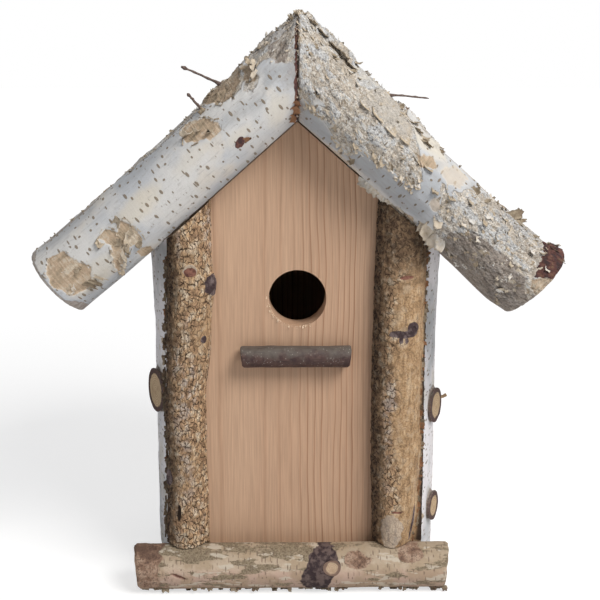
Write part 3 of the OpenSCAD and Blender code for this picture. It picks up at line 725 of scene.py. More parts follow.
LEFT_PLACES = {
    "peel": [(1, PATCH_1), (1, PATCH_2), (0.85, LEFT_OVAL), (0.8, LEFT_STRIP), (0.9, [(0.713, 319),
             (0.69, 317), (0.662, 329), (0.668, 352), (0.69, 354), (0.711, 334)]), (0.7, [(0.217, 176),
             (0.185, 208), (0.154, 234), (0.163, 241), (0.195, 233)])],
    "rough": [(0.95, [(-0.02, 165), (-0.02, 272), (0.03, 262), (0.075, 248), (0.1, 236), (0.16, 220),
             (0.21, 160)]), (0.7, LEFT_STRIP), (0.5, oval(0.2, 238, 9, 5, -20)),
             (0.5, oval(0.45, 196, 30, 4))],
    "weather": [(0.45, [(-0.02, 170), (-0.02, 240), (0.05, 232), (0.1, 222), (0.17, 208), (0.19, 160)]),
             (0.6, [(0.104, 211), (0.062, 221), (0.028, 240), (0.04, 254), (0.085, 246), (0.117, 223)]),
             (0.4, [(-0.02, 262), (0.04, 262), (0.075, 268), (0.06, 284), (-0.02, 290)]),
             (0.35, [(0.601, 330), (0.5, 344), (0.312, 344), (0.161, 335), (0.175, 352), (0.349, 356),
             (0.56, 352)]), (0.7, oval(0.99, 190, 3, 12)), (0.8, oval(0.985, 325, 3, 12, 10)),
             (0.6, oval(0.85, 196, 18, 2.5))],
    "rust": [(1, oval(0.242, 294, 3.2, 2.2, -20)), (0.75, [(-0.01, 215), (0.01, 215), (0.018, 340),
             (-0.01, 340)])],
    # The hollow places are dents painted near-black: painted shade in them
    "hollow": [(0.75, oval(0.8, 300, 0.9, 0.7)), (0.6, oval(0.165, 226, 3, 1, 40)),
             (0.55, oval(0.062, 234, 4, 1, 30))],
    "blue": [(0.7, [(0.6, 322), (0.3, 330), (0.15, 325), (0.15, 355), (0.6, 355)]),
             (0.6, oval(0.22, 262, 18, 5, -15)), (0.9, [(0.0, 262), (0.06, 250), (0.13, 240),
             (0.14, 262), (0.06, 280), (0.0, 290)]), (0.5, oval(0.55, 215, 22, 5)),
             (0.6, oval(0.86, 208, 18, 6)), (0.4, oval(0.8, 345, 20, 7))],
    "cream": [(0.8, oval(0.63, 262, 14, 8)), (0.6, oval(0.08, 290, 8, 12)), (0.7, oval(0.86, 300, 18, 10)),
             (0.6, oval(0.24, 285, 8, 5)), (0.5, oval(0.42, 262, 12, 6))],
    "groove": [],
    "plate": [(0.5, [(0.09, 165), (0.09, 190), (0.2, 196), (0.24, 188), (0.24, 165)]), (0.35, [(0.27, 165),
             (0.27, 190), (0.34, 195), (0.36, 165)])],
}
RIGHT_PLACES = {
    "peel": [(0.42, RIGHT_TOP), (0.7, [(0.452, 245), (0.513, 224), (0.528, 238), (0.472, 257)]),
             (0.9, POCKET), (0.45, RIGHT_MIDDLE), (0.5, [(0.022, 342), (0.188, 336), (0.3, 345),
             (0.305, 359), (0.167, 359), (0.026, 359)]), (0.45, [(0.168, 180), (0.208, 222),
             (0.187, 234), (0.142, 227)]), (0.5, oval(0.565, 283, 3.4, 3.6)), (0.8, RIGHT_END)],
    "rough": [(1, [(-0.02, 160), (-0.02, 300), (0.07, 302), (0.2, 318), (0.26, 298), (0.35, 293),
             (0.47, 287), (0.5, 268), (0.46, 240), (0.41, 200), (0.34, 165), (0.1, 160)]),
             (0.85, [(0.56, 250), (0.62, 240), (0.68, 214), (0.8, 160), (1.02, 160), (1.02, 360),
             (0.64, 372), (0.6, 330), (0.585, 290)]), (0.6, oval(0.5, 180, 10, 8))],
    "weather": [(0.7, [(0.64, 300), (0.72, 270), (0.86, 262), (0.93, 270), (0.97, 290), (1.0, 300),
             (0.98, 372), (0.64, 372)]), (0.35, [(0.68, 214), (0.8, 160), (0.93, 160), (0.93, 240),
             (0.8, 235)])],
    "rust": [(1, RED_END)],
    # The hollow places are painted near-black: painted shadow under the curled bark by the pockets
    "hollow": [(1, [(0.54, 326), (0.597, 318), (0.63, 318), (0.642, 352), (0.58, 360)]), (0.7, [(0.3, 352),
             (0.36, 358), (0.43, 348), (0.5, 336), (0.5, 340), (0.43, 353), (0.36, 364)])],
    "blue": [(1, [(0.01, 305), (0.074, 304), (0.204, 320), (0.266, 300), (0.349, 296), (0.474, 290),
             (0.555, 293), (0.545, 319), (0.457, 334), (0.302, 330), (0.187, 333), (0.022, 338)]),
             (0.7, [(0.09, 221), (0.137, 204), (0.13, 223), (0.087, 235)]), (0.8, [(0.174, 241),
             (0.21, 233), (0.236, 235), (0.213, 245), (0.179, 248)]), (0.7, [(0.6, 255), (0.64, 238),
             (0.7, 214), (0.66, 200), (0.56, 215), (0.47, 236), (0.49, 285), (0.54, 292),
             (0.56, 270)])],
    "plate": [(0.8, [(0.03, 160), (0.03, 192), (0.1, 195), (0.15, 200), (0.205, 203), (0.212, 160)]),
             (0.75, [(0.36, 160), (0.38, 190), (0.45, 199), (0.52, 203), (0.53, 160)]),
             (0.4, [(0.95, 160), (0.95, 195), (1.02, 200), (1.02, 160)])],
    "cream": [(0.9, RIGHT_TOP), (1, RIGHT_MIDDLE), (1, POCKET), (1, RIGHT_END), (1, [(0.215, 165),
             (0.272, 185), (0.321, 198), (0.25, 232), (0.201, 228)]), (1, [(0.422, 216), (0.465, 202),
             (0.55, 176), (0.555, 210), (0.466, 232), (0.422, 236)])],
    "groove": [(1, [(0.64, 300), (0.68, 250), (0.75, 200), (0.8, 160), (0.95, 160), (0.95, 300),
             (0.99, 372), (0.64, 372)])],
}
# Each front log's places, and how its eave end is cut: mean length, lean and the angle it leans towards
FRONT_LOGS = {LEFT: (LEFT_PLACES, (0.992, 0.007, 275)), RIGHT: (RIGHT_PLACES, (0.994, 0.009, 200))}


def draw(chance, *spans):
    """Random values, one from each span."""
    return [chance.uniform(*span) for span in spans]


def random_places(seed):
    """Peeled, crusty and weathered places for a log that the front ones hide."""
    chance = random.Random(seed)
    places = {"groove": []}
    for mark, count, wide, round_it in (("peel", 4, 9, 6), ("rough", 4, 24, 20), ("weather", 2, 14, 10),
                                        ("rust", 1, 3, 3), ("hollow", 2, 4, 1.2), ("blue", 5, 20, 8),
                                        ("cream", 5, 14, 8)):
        places[mark] = []
        for _ in range(count):
            size, share, angle, strength, tilt = draw(chance, (0.6, 1.3), (0.05, 0.97), (100, 260), (0.7, 1),
                                                      (-30, 30))
            places[mark].append((strength, oval(share, angle, wide * size, round_it * size, tilt)))
    return places


def log_bark(side, k, places):
    """How deep the bark lies below the log's full radius in mm, and its marks, at a share and an angle."""
    seed = k + (0 if side == LEFT else 5.5)
    shapes = {mark: [(strength, flat_shape(corners)) for strength, corners in listed]
              for mark, listed in places.items()}

    def bark(share, angle):
        along = share * LOG_END_S
        turn = math.radians(angle)
        around = turn * LOG_R
        probe = ring_point(along, LOG_R, turn)
        ragged = 0.8 * wobble(probe, 4, seed) + 0.8 * wobble(probe, 1.5, seed + 2)
        found = {}
        for mark, listed in shapes.items():
            soft = 4.0 if mark in ("blue", "cream", "groove") else 0.45 if mark != "rough" else 1.2
            border = ragged + (2.4 * wobble(probe, 8, seed + 1) if mark == "rough" else 0)
            found[mark] = max((strength * soft_step(soft, -soft, past_edge(shape, along, around) + border)
                               for strength, shape in listed), default=0.0)
        smooth_part = max(found["blue"], found["cream"]) * (1 - found["groove"])
        crust = found["rough"] * (1 - (0.9 if side == LEFT else 0.6) * smooth_part)
        islands = soft_step(0.2, 0.5, wobble(probe, 9, seed + 6) + 0.3 * wobble(probe, 3, 2))
        crust *= 1 - 0.7 * (1 - found["groove"]) * islands
        depth = 0.35 + 0.45 * (0.5 + 0.5 * wobble(probe, 30, seed)) + 0.1 * wobble(probe, 9, seed)
        depth += 0.07 * noise.noise(Vector((along / 2.2, probe.y / 30, probe.z / 30)) + Vector((seed, 0, 0)))
        height, rim = layers(probe, 13, 8, 5, seed)
        bent = Vector((1.6 * wobble(probe, 3, 8), 1.3 * wobble(probe, 3, 9), 1.3 * wobble(probe, 3, 7)))
        bits, split = scales(probe + bent, 4.8, 3.0, seed)
        even = 1 - 0.7 * found["groove"]
        depth += crust * (0.85 - 1.7 * height + 0.45 * rim + even * (0.1 * split - 0.2 * bits))
        if found["groove"]:
            wavy = 2.5 * wobble(probe, 14, seed + 4)
            crease = creases(Vector((along, probe.y + wavy, probe.z + wavy)), 16, 3.4, seed)
            depth += found["groove"] * 0.6 * crease
            # Painted shade in the creases along the grooves
            found["hollow"] = max(found["hollow"], 0.35 * crease * found["groove"])
        torn = found["peel"]
        depth += torn * (0.75 - 0.7 * height + 0.25 * rim)
        depth += 1.0 * found["hollow"] - 0.5 * found["rust"] * wobble(probe, 3, seed)
        tone = 0.5 + 0.5 * found["cream"] - 0.5 * found["blue"]
        tone += (0.75 * height + 0.25 * bits - tone) * max(crust, torn) * (1 - 0.5 * found["cream"])
        # Painted shade: the crust is darkened at the foot of each layer's torn edge and in the splits between
        # its scales
        painted_rim_shade = crust * min(0.8, 0.75 * rim * (0.3 + 0.7 * height) + 0.1 * split)
        marks = {mark: found.get(mark, 0.0) for mark in NO_MARKS}
        marks.update(rough=crust, tone=tone, hollow=max(found["hollow"], painted_rim_shade))
        blocky, _ = scales(probe + bent, 6, 4, seed + 9)
        depth -= found.get("plate", 0.0) * (1.2 + 2.6 * blocky + 0.5 * wobble(probe, 2, seed))
        return depth, marks

    return bark


def roof_log_surface(side, k, bark, cut):
    """The log from the upright mitre to its eave end, which is sawn a little askew."""
    mean, lean, toward = cut

    def surface(share, turn):
        angle = turn * 360
        reach = mean + lean * math.cos(math.radians(angle - toward))
        place = share * reach
        depth, marks = bark(place, angle)
        edge = (1 - share) * reach * LOG_END_S
        fray = 0.5 + 0.5 * noise.noise(Vector((angle / 7, k + 3, side * 3)))
        depth += 0.9 * soft_step(1.0, 0.0, edge) * fray
        ridge = place * LOG_END_S
        depth += 1.2 * fray * soft_step(2.2, 0.3, ridge) * soft_step(150, 215, min(angle, 400 - angle))
        marks["weather"] = max(marks["weather"], 0.9 * soft_step(1.6, 0.6, edge),
                               0.8 * soft_step(2.4, 0.6, ridge) * fray)
        # Painted shade: near-black bark along the mitre, for the joint between the two logs
        marks["hollow"] = max(marks["hollow"], 0.9 * soft_step(1.2, 0.5, ridge + 0.5 * fray))
        under = soft_step(34, 22, min(angle, 360 - angle))
        r = log_girth(side, k, place)[0] - depth + (depth - 0.35) * under
        return log_place(side, k, place, angle, r), marks

    return surface


roof_logs = {}
for side, name in ((LEFT, "left"), (RIGHT, "right")):
    for k in range(1, LOGS_A_SIDE + 1):
        if k == 1:
            places, cut, around, rings = *FRONT_LOGS[side], 240, 280
        else:
            mean, toward = draw(random.Random(40 * k + side), (0.975, 0.985), (0, 360))
            places, cut, around, rings = random_places(10 * k + side), (mean, 0.01, toward), 120, 150
        bark = roof_logs[side, k] = log_bark(side, k, places)
        roof_log = timber(f"{name}_roof_birch_{k}", around, rings, math.tau * LOG_R,
                          (side * math.cos(PITCH), 0, -math.sin(PITCH)), roof_log_surface(side, k, bark, cut))
        fit(roof_log, "birch_log", [BIRCH_BARK, LOG_END], f"{name}_roof_log_{k}")

# Torn bark that stands off: white outside, tan to brown inside and at its ragged edges
BARK_PAPER, tree = new_material("bark_paper")
fine = cloud(node(tree, "TexCoord")["Object"], 700, 3.0, 0.6)
shade = mark_of(tree, "tone") + (fine - 0.5) * 0.5
color = ramp(shade, (0.0, (0.12, 0.08, 0.055, 1)), (0.22, (0.22, 0.175, 0.12, 1)),
             (0.5, (0.42, 0.345, 0.255, 1)), (0.75, (0.55, 0.475, 0.38, 1)), (1.0, (0.62, 0.6, 0.57, 1)))
dress(tree, blend(step(shade, -0.05, -0.15), color, (0.29, 0.15, 0.08, 1)), 0.8, fine, 0.25, specular=0.25)


def add_flake(bm, root, along, out, across, length, width, curl, tone, chance, thick=0.28):
    """One ragged flake: it starts flat at root, runs along, and curls off the bark by curl degrees in all."""
    tone_layer = bm.verts.layers.float.get("tone") or bm.verts.layers.float.new("tone")
    made = bmesh.ops.create_grid(bm, x_segments=7, y_segments=5, size=1)["verts"]
    seed = Vector((*draw(chance, (0, 90), (0, 90)), 0))
    total = math.radians(curl)
    for vert in made:
        u, v = vert.co.x * 0.5 + 0.5, vert.co.y
        v *= 1 - 0.25 * u * u + 0.3 * noise.noise(seed + Vector((u * 3, v * 2, 0)))
        u *= 1 + 0.4 * noise.noise(seed + Vector((v * 1.6, 5, 0)))
        bend = total * max(u, 0.0)
        forward, rise = u * length, 0.0
        if abs(bend) > 0.01:
            forward, rise = math.sin(bend) / total * length, (1 - math.cos(bend)) / total * length
        ripple = 0.08 * width * v * v + 0.25 * noise.noise(seed + Vector((u * 4, v * 4, 9)))
        point = root + along * forward + out * (rise + ripple) + across * (v * width / 2)
        vert.co = kept_in(point - out * 0.3, thick + 0.1) * MM
        mottled = 0.2 * noise.noise(seed + Vector((u * 2, v * 3, 4))) - 0.12 * u
        vert[tone_layer] = tone + mottled * (tone > 0)
    faces = list(dict.fromkeys(face for vert in made for face in vert.link_faces))
    for face in faces:
        face.smooth = True
    for part in bmesh.ops.solidify(bm, geom=faces, thickness=thick * MM)["geom"]:
        if isinstance(part, bmesh.types.BMFace):
            part.smooth = True


def log_frame(side, k, share, angle):
    """A point on a roof log's bark and the directions along the log, round it and outwards."""
    r = log_girth(side, k, share)[0] - roof_logs[side, k](share, angle)[0]
    point = log_place(side, k, share, angle, r)
    along = (log_place(side, k, share + 0.01, angle, r) - point).normalized()
    around = (log_place(side, k, share, angle + 1, r) - point).normalized()
    out = (log_place(side, k, share, angle, r + 1) - point).normalized()
    out = (out - along * out.dot(along)).normalized()
    return point, along, (around - out * out.dot(around)).normalized(), out


def torn_edge(corners, apart, length, curl, tone, chance, skip=0.25):
    """Flakes that curl outwards all round a torn place."""
    flat, _ = flat_shape(corners)
    middle_x, middle_y = (sum(values) / len(flat) for values in zip(*flat))
    flakes = []
    for (ax, ay), (bx, by) in zip(flat, flat[1:] + flat[:1]):
        heading = math.atan2(ax - bx, by - ay)
        if (ax - middle_x) * math.cos(heading) + (ay - middle_y) * math.sin(heading) < 0:
            heading += math.pi
        count = max(1, round(math.hypot(bx - ax, by - ay) / apart))
        for i in range(count):
            if chance.random() < skip:
                continue
            t, turn, longer, wider, curlier, lighter = draw(
                chance, (0.2, 0.8), (-25, 25), (0.6, 1.3), (0.8, 1.5), (0.6, 1.3), (-0.15, 0.15))
            t = (i + t) / count
            flakes.append(((ax + (bx - ax) * t) / LOG_END_S, math.degrees((ay + (by - ay) * t) / LOG_R),
                           math.degrees(heading) + turn, length * longer, apart * wider, curl * curlier,
                           tone + lighter))
    return flakes


chance = random.Random(12)
# Flakes on the front logs: share, angle, heading from the eaves' way, length, width, curl, and tone
LEFT_FLAKES = torn_edge(PATCH_1, 4, 1.6, 60, 0.75, chance) + torn_edge(PATCH_2, 3.4, 2.0, 70, 0.65, chance)
LEFT_FLAKES += torn_edge(LEFT_OVAL, 4, 2.0, 100, 0.5, chance)
LEFT_FLAKES += torn_edge(LEFT_STRIP, 5, 1.8, 90, 0.45, chance, 0.4)
LEFT_FLAKES += [(0.735, 268, 75, 15, 2.6, -28, 0.8), (0.73, 262, 200, 6, 5, 60, 0.6),
                (0.7, 272, 110, 7, 4, 50, 0.6), (0.69, 286, 20, 6, 5, 40, 0.7),
                (0.785, 320, 60, 6, 4, 40, 0.6), (0.775, 264, 10, 6, 5, 60, 0.55),
                (0.71, 284, 60, 9, 3.5, 10, 0.5), (0.75, 288, 85, 9, 3, 8, 0.75),
                (0.765, 276, 150, 7, 4, 30, 0.45), (0.69, 298, 100, 5, 4, 50, 0.35),
                (0.775, 306, 95, 7, 3, 15, 0.8), (0.76, 300, 200, 5, 3, 30, 0.65),
                (0.972, 262, 172, 7.5, 1.3, 12, 0.9), (0.937, 278, 75, 6, 2.4, 6, 0.95),
                (0.945, 290, 50, 4, 2.6, 20, 0.9), (0.905, 288, 120, 11, 2.4, 8, 0.3),
                (0.892, 285, 125, 12, 1.6, 14, 0.65), (0.915, 292, 118, 9, 2.2, 18, 0.22),
                (0.93, 262, 160, 8, 3.4, 12, 0.6), (0.9, 262, 100, 6, 4, 16, 0.5),
                (0.955, 276, 100, 5, 3.4, 20, 0.6), (0.4, 225, 60, 9, 3.4, 120, 0.75),
                (0.37, 232, 70, 8, 3, 120, 0.6), (0.33, 246, 60, 7, 4, 110, 0.5),
                (0.42, 222, 80, 8, 2.5, 130, 0.8), (0.352, 212, 100, 6, 4, 100, 0.4),
                (0.17, 222, 150, 7, 6, 120, 0.8), (0.185, 214, 170, 8, 5, 140, 0.5),
                (0.165, 232, 120, 6, 5, 110, 0.85), (0.03, 316, 190, 7, 6, 110, -0.3),
                (0.038, 324, 170, 6, 5, 140, -0.3), (0.02, 310, 200, 5, 5, 90, -0.3),
                (0.235, 295, 170, 5, 2.4, 50, -0.3), (0.225, 298, 180, 5, 1.4, 60, 0.05)]
RIGHT_FLAKES = torn_edge(POCKET, 5, 3.2, 120, 0.75, chance, 0.15)
RIGHT_FLAKES += [(0.3 + 0.027 * i, 347 - 1.6 * i, 80 + 9 * (i % 3), 4.2, 6, 50, 0.95 - 0.05 * (i % 3))
                 for i in range(9)]
CRUST_EDGE = [(0.0, 302), (0.07, 302), (0.2, 318), (0.26, 298), (0.35, 293), (0.47, 287), (0.5, 268)]
for _ in range(70):
    place, higher, lean, *look = draw(chance, (0.01, 0.5), (-8, 1), (-40, 40), (1.8, 4.2), (1.8, 4.5),
                                      (10, 60), (0.5, 1.05))
    RIGHT_FLAKES.append((place, between(CRUST_EDGE, place) + higher, 90 + lean, *look))
RIGHT_FLAKES += [(0.05, 192, 80, 4, 6, 30, 0.55), (0.09, 194, 90, 5, 7, 30, 0.5),
                 (0.13, 198, 80, 5, 7, 35, 0.5), (0.165, 200, 90, 6, 7, 35, 0.48),
                 (0.19, 202, 80, 6, 7, 35, 0.4), (0.205, 192, 10, 4, 6, 60, 0.4),
                 (0.245, 188, 10, 4, 3, 80, 0.2), (0.36, 196, -20, 5, 4, 80, 0.4),
                 (0.385, 192, -60, 5, 2.5, 50, 0.1), (0.41, 198, 20, 6, 5, 60, 0.4),
                 (0.44, 204, 80, 5, 6, 60, 0.4), (0.48, 206, 90, 5, 7, 60, 0.3),
                 (0.525, 196, -20, 4, 4, 60, 0.2), (0.455, 212, 10, 6, 5, 80, 0.5),
                 (0.25, 240, 90, 6, 8, 50, 0.6), (0.3, 242, 95, 6, 8, 60, 0.6),
                 (0.35, 244, 90, 6, 8, 60, 0.65), (0.4, 238, 80, 6, 7, 60, 0.6),
                 (0.46, 246, 100, 4, 5, 60, 0.5), (0.5, 240, 80, 5, 6, 60, 0.55),
                 (0.545, 262, 80, 5, 5, 90, 0.5), (0.6, 252, 60, 5, 5, 80, 0.5),
                 (0.59, 292, 60, 6, 6, 80, 0.8), (0.605, 318, 70, 9, 9, 60, 0.85),
                 (0.63, 312, 60, 8, 7, 70, 0.9), (0.585, 316, 100, 8, 7, 80, 0.75),
                 (0.64, 330, 120, 8, 5, 60, 0.7), (0.56, 322, 80, 7, 6, 80, 0.7),
                 (0.54, 345, 30, 9, 5, 90, 0.6), (0.66, 222, -40, 5, 4, 80, 0.35),
                 (0.7, 216, 10, 5, 4, 80, 0.4), (0.8, 206, -60, 11, 6, 35, 0.3),
                 (0.815, 208, -75, 12, 5, 25, 0.28), (0.83, 206, -95, 12, 5, 20, 0.3),
                 (0.845, 202, -110, 9, 5, 30, 0.35), (0.82, 200, -50, 10, 3, 20, 0.3),
                 (0.87, 200, 0, 6, 4, 40, 0.35), (0.955, 190, 10, 6, 6, 14, 0.1),
                 (0.975, 205, 20, 6, 6, 12, 0.0), (0.23, 318, 60, 5, 4, 60, 0.3)]
for side, name, placed in ((LEFT, "left", LEFT_FLAKES), (RIGHT, "right", RIGHT_FLAKES)):
    for k in range(1, LOGS_A_SIDE + 1):
        chance = random.Random(300 + 10 * k + side)
        bm = bmesh.new()
        flakes = list(placed) if k == 1 else []
        for _ in range(620 if k == 1 else 14):
            place, angle = draw(chance, (0.02, 0.97), (140, 330 if k == 1 else 240))
            crust = roof_logs[side, k](place, angle)[1]["rough"]
            if k > 1 or crust > 0.45:
                look = draw(chance, (0, 360), (1.6, 4.6), (1.4, 3.6), (6, 60), (0.4, 1.1))
                flakes.append((place, angle, *look))
        if k == 1:
            # Along the mitre, then from spans as above on the ridge near it and on top all along the log
            for _ in range(110):
                angle = chance.uniform(190, 335)
                dark = side == LEFT and chance.random() < 0.65
                tone = -0.3 if dark else chance.uniform(0.55, 1.0)
                place, lean, *sizes = draw(chance, (0.008, 0.02), (-30, 30), (1.4, 3.0), (0.8, 2.0), (5, 40))
                flakes.append((place, angle, 180 + lean, *sizes, tone))
            for count, *spans in (
                    (26, (0.0, 0.03), (170, 200), (0, 360), (2.0, 4.5), (1.0, 2.6), (30, 90), (0.35, 0.8)),
                    (34, (0.0, 0.97), (182, 197), (0, 360), (1.4, 3.0), (0.8, 2.2), (50, 110), (0.2, 0.55))):
                flakes += [draw(chance, *spans) for _ in range(count)]
        for share, angle, heading, length, width, curl, tone in flakes:
            point, along, around, out = log_frame(side, k, share, angle)
            turn = math.radians(heading)
            ahead = along * math.cos(turn) + around * math.sin(turn)
            across = around * math.cos(turn) - along * math.sin(turn)
            add_flake(bm, point - out * 0.3, ahead, out, across, length, width, curl, tone, chance)
        fit(as_object(bm, f"{name}_bark_flakes_{k}"), "birch_log", [BARK_PAPER])

# Roof shoots.
# Three thin dead shoots grow out of the front logs, dark brown and kinked, with buds at their tips.
SHOOT_BARK, tree = new_material("shoot_bark")
fine = cloud(node(tree, "TexCoord")["Object"], 900, 3.0, 0.6)
dress(tree, blend(step(fine, 0.4, 0.7), (0.085, 0.055, 0.045, 1), (0.19, 0.14, 0.12, 1)), 0.75, fine, 0.15)


def add_stick(bm, points, widths):
    """A closed twig through points, with a width at each."""
    rings = []
    for i, (point, width) in enumerate(zip(points, widths)):
        ahead = (points[min(i + 1, len(points) - 1)] - points[max(i - 1, 0)]).normalized()
        placed = Matrix.Translation(point * MM) @ ahead.to_track_quat("Z", "Y").to_matrix().to_4x4()
        ring = bmesh.ops.create_circle(bm, cap_ends=False, segments=10, radius=width / 2 * MM, matrix=placed)
        rings.append([edge for edge in bm.edges if all(v in ring["verts"] for v in edge.verts)])
    for first, second in zip(rings, rings[1:]):
        bmesh.ops.bridge_loops(bm, edges=first + second)
    for ring in (rings[0], rings[-1]):
        bmesh.ops.contextual_create(bm, geom=ring)
    bmesh.ops.recalc_face_normals(bm, faces=bm.faces)


# Side and root place on its front log, the tip's shift in mm, and the widths of the stem and the bud
SHOOTS = [
    (LEFT, 0.28, 181, (-21.6, -3, 9.8), 1.15, 2.3), (LEFT, 0.351, 214, (-8.2, -4, 9.6), 1.35, 2.1),
    (RIGHT, 0.33, 188, (22.6, 2, -1.6), 0.95, 1.0),
]
bm = bmesh.new()
for number, (side, share, angle, tip, thick, bud) in enumerate(SHOOTS):
    chance = random.Random(70 + number)
    root, _, _, out = log_frame(side, 1, share, angle)
    root = root - out * 1.0
    points, widths = [], []
    for i in range(13):
        u = i / 12
        kink = Vector(draw(chance, *[(-0.14, 0.14)] * 3)) * (0 if i in (0, 12) else 1)
        points.append(root + Vector(tip) * u + out * (1.2 * math.sin(math.pi * u) * (1 - u)) + kink)
        knot = 0.3 if i in (4, 8) else 0.0
        root_swell = 1.6 * thick * max(0.0, 1 - i / 2.5)
        stem = thick * (1.15 - 0.3 * u) + knot + root_swell
        widths.append(stem if i < 11 else bud if i == 11 else bud * 0.4)
    add_stick(bm, points, widths)
for face in bm.faces:
    face.smooth = True
fit(as_object(bm, "roof_twigs"), "shoot_bark", [SHOOT_BARK], "roof_shoots")

# Corner posts.
# Two split branches with cracked golden-brown bark stand on the base log, flat against the front board, and
# run up to the roof. Small side branches were cut off them and have left purple-grey knots.
POST_W = 27
POST_T = 15.5
POST_FOOT = 24
POST_H = 186
BARK_TURN = 0.78
BASE_D = 26
BASE_FLAT = 3
BOARD_FACE = FACE_Y - SEAT
BASE_AXIS_Y = BOARD_FACE - BASE_D / 2 + BASE_FLAT
BASE_AXIS_Z = BASE_D / 2
POST_GOLD = (0.59, 0.39, 0.225, 1)
POST_CRACK = (0.03, 0.018, 0.012, 1)
POST_NET = (0.05, 0.029, 0.018, 1)
POST_LILAC = (0.56, 0.50, 0.47, 1)
KNOT_PURPLE = (0.055, 0.036, 0.038, 1)


def swelling(flat_2, wide):
    """A round swelling of height 1, from the square of the distance to its middle."""
    return math.exp(-4 * flat_2 / wide ** 2)


def post_surface(edges, seed, knots, scars, skirt=None):
    """A branch split lengthwise: bark from left to right up to BARK_TURN, and its flat back for the rest.

    With a skirt, the bark is worn smooth on its right, and its torn edge there spreads over the board to x
    and is painted near-black, as painted shadow of the gap beside the wall.
    """
    left_edge = [(z, left) for z, left, _ in edges]
    right_edge = [(z, right) for z, _, right in edges]

    def surface(share, turn):
        up = POST_FOOT + share * POST_H
        middle = (between(right_edge, up) + between(left_edge, up)) / 2
        half = between(right_edge, up) - middle + 0.5
        marks = dict(NO_MARKS)
        if turn < BARK_TURN:
            angle = 180 * turn / BARK_TURN
            side_on = math.radians(angle)
            z = POST_FOOT + share * (slope_z(middle - math.cos(side_on) * half) - POST_FOOT)
            probe = ring_point(z, 13, side_on)
            wavy = Vector((0, wobble(probe, 6, seed), wobble(probe, 6, seed + 4))) * 1.2
            rim = max(creases(probe + wavy, 9, 3.6, seed), 0.7 * creases(probe + wavy, 3.4, 2.6, seed + 3))
            height = 0.5 + 0.5 * wobble(probe, 3.5, seed + 5)
            # Painted shade and dark bark: the left parts of both posts, turned away from the key light, are
            # painted dark, with deep cracks
            dark_bark_and_shade = soft_step(78, 30, angle + 14 * wobble(probe, 18, seed + 1))
            # Painted shade: a dark band at the head of the right post, under the right roof log, over darker
            # bark there
            dark_bark_and_shade = max(dark_bark_and_shade, 0.8 * soft_step(166, 192, z + 9 * wobble(probe, 7, seed)) * (middle > 0))
            smooth_part = soft_step(0.1, 0.5, wobble(probe, 34, seed + 2)) * (1 - dark_bark_and_shade)
            if skirt:
                smooth_part = soft_step(70, 96, angle + 26 * wobble(probe, 12, seed + 2)) * (1 - 0.7 * dark_bark_and_shade)
            hollow = 0.5 + 0.5 * wobble(probe, 24, seed) + 0.15 * wobble(probe, 5, seed)
            hollow += (0.3 + 0.4 * dark_bark_and_shade) * rim * (1 - 0.75 * smooth_part) - 0.25 * height
            swell = 0.0
            for at_z, at_angle, wide, tall in knots:
                near = swelling((z - at_z) ** 2 + ((angle - at_angle) * POST_W / 115) ** 2, wide)
                swell = max(swell, tall * near)
                purple = soft_step(0.35, 0.6, near + 0.1 * wobble(probe, 3, seed))
                marks["weather"] = max(marks["weather"], purple)
            for mark, at_z, at_angle, half_z, half_round, deep_by in scars:
                out = math.hypot((z - at_z) / half_z, (angle - at_angle) * POST_W / 115 / half_round)
                inside = soft_step(1.1, 0.85, out + 0.2 * wobble(probe, 3, seed))
                marks[mark] = max(marks[mark], inside)
                hollow += deep_by * inside
            edge = min(angle, 180 - angle)
            hollow += 0.9 * soft_step(14, 0, edge + 8 * wobble(probe, 3, seed))
            hollow = max(0.0, hollow)
            x = middle - math.cos(side_on) * (half - hollow + swell)
            y = BOARD_FACE - math.sin(side_on) * (POST_T - hollow + swell)
            if skirt and angle > 90:
                torn = soft_step(0.3, 0.12, math.sin(side_on))
                x += torn * max(0.0, skirt - 0.4 + 0.4 * wobble(probe, 3, seed) - x)
                # Painted shadow: the torn edge is painted near-black for the gap beside the wall
                marks["hollow"] = max(marks["hollow"], soft_step(0.1, 0.6, torn))
            marks["rough"] = dark_bark_and_shade
            # Painted shade in the creases
            painted_crack_shade = rim * (0.1 + 0.25 * dark_bark_and_shade) * (1 - 0.7 * smooth_part)
            marks["hollow"] = max(marks["hollow"], painted_crack_shade)
            marks["tone"] = height
            marks["peel"] = max(marks["peel"], 0.85 * smooth_part)
        else:
            back = (turn - BARK_TURN) / (1 - BARK_TURN)
            x, y = middle + (0.5 - back) * (2 * half - 1.8), BOARD_FACE
        reach = BASE_D / 2 + SEAT
        foot = BASE_AXIS_Z + math.sqrt(max(0.0, reach ** 2 - (y - BASE_AXIS_Y) ** 2))
        return Vector((x, y, foot + share * (slope_z(x) - SEAT - foot))), marks

    return surface


# Golden-brown bark with a net of dark cracks, paler ridges, and purple-grey knots
POST_BARK, tree = new_material("post_bark")
place = node(tree, "TexCoord")["Object"]
bark_uv = node(tree, "UVMap", uv_map="bark")
fine = cloud(place, 1000, 3.0, 0.65)
medium = cloud(place, 240, 3.0, 0.6)
broad = cloud(place, (60, 60, 20))
rough, peel = mark_of(tree, "rough"), mark_of(tree, "peel")
split = cracks(bark_uv, 1.8, 3.6, 0.15, 1.5)
shade = mark_of(tree, "tone") * 0.4 + split["Scale"] * 0.12 + medium * 0.5
split = calc("MAXIMUM", split, cracks(bark_uv, 1.1, 1.9, 0.14, 1.1) * 0.3) * step(rough, 0.2, 1.0, 1.0, 0.35)
jagged = cracks(bark_uv, 2.3, 9.5, 0.27, 2.8) * rough
furrow = step(abs(cloud(bark_uv, (420, 120, 1), 4.0, 0.6) - 0.5), 0.045, 0.0)
crack = calc("MAXIMUM", split * 0.95, furrow * 0.45) * step(peel, 0.0, 1.0, 1.0, 0.3)
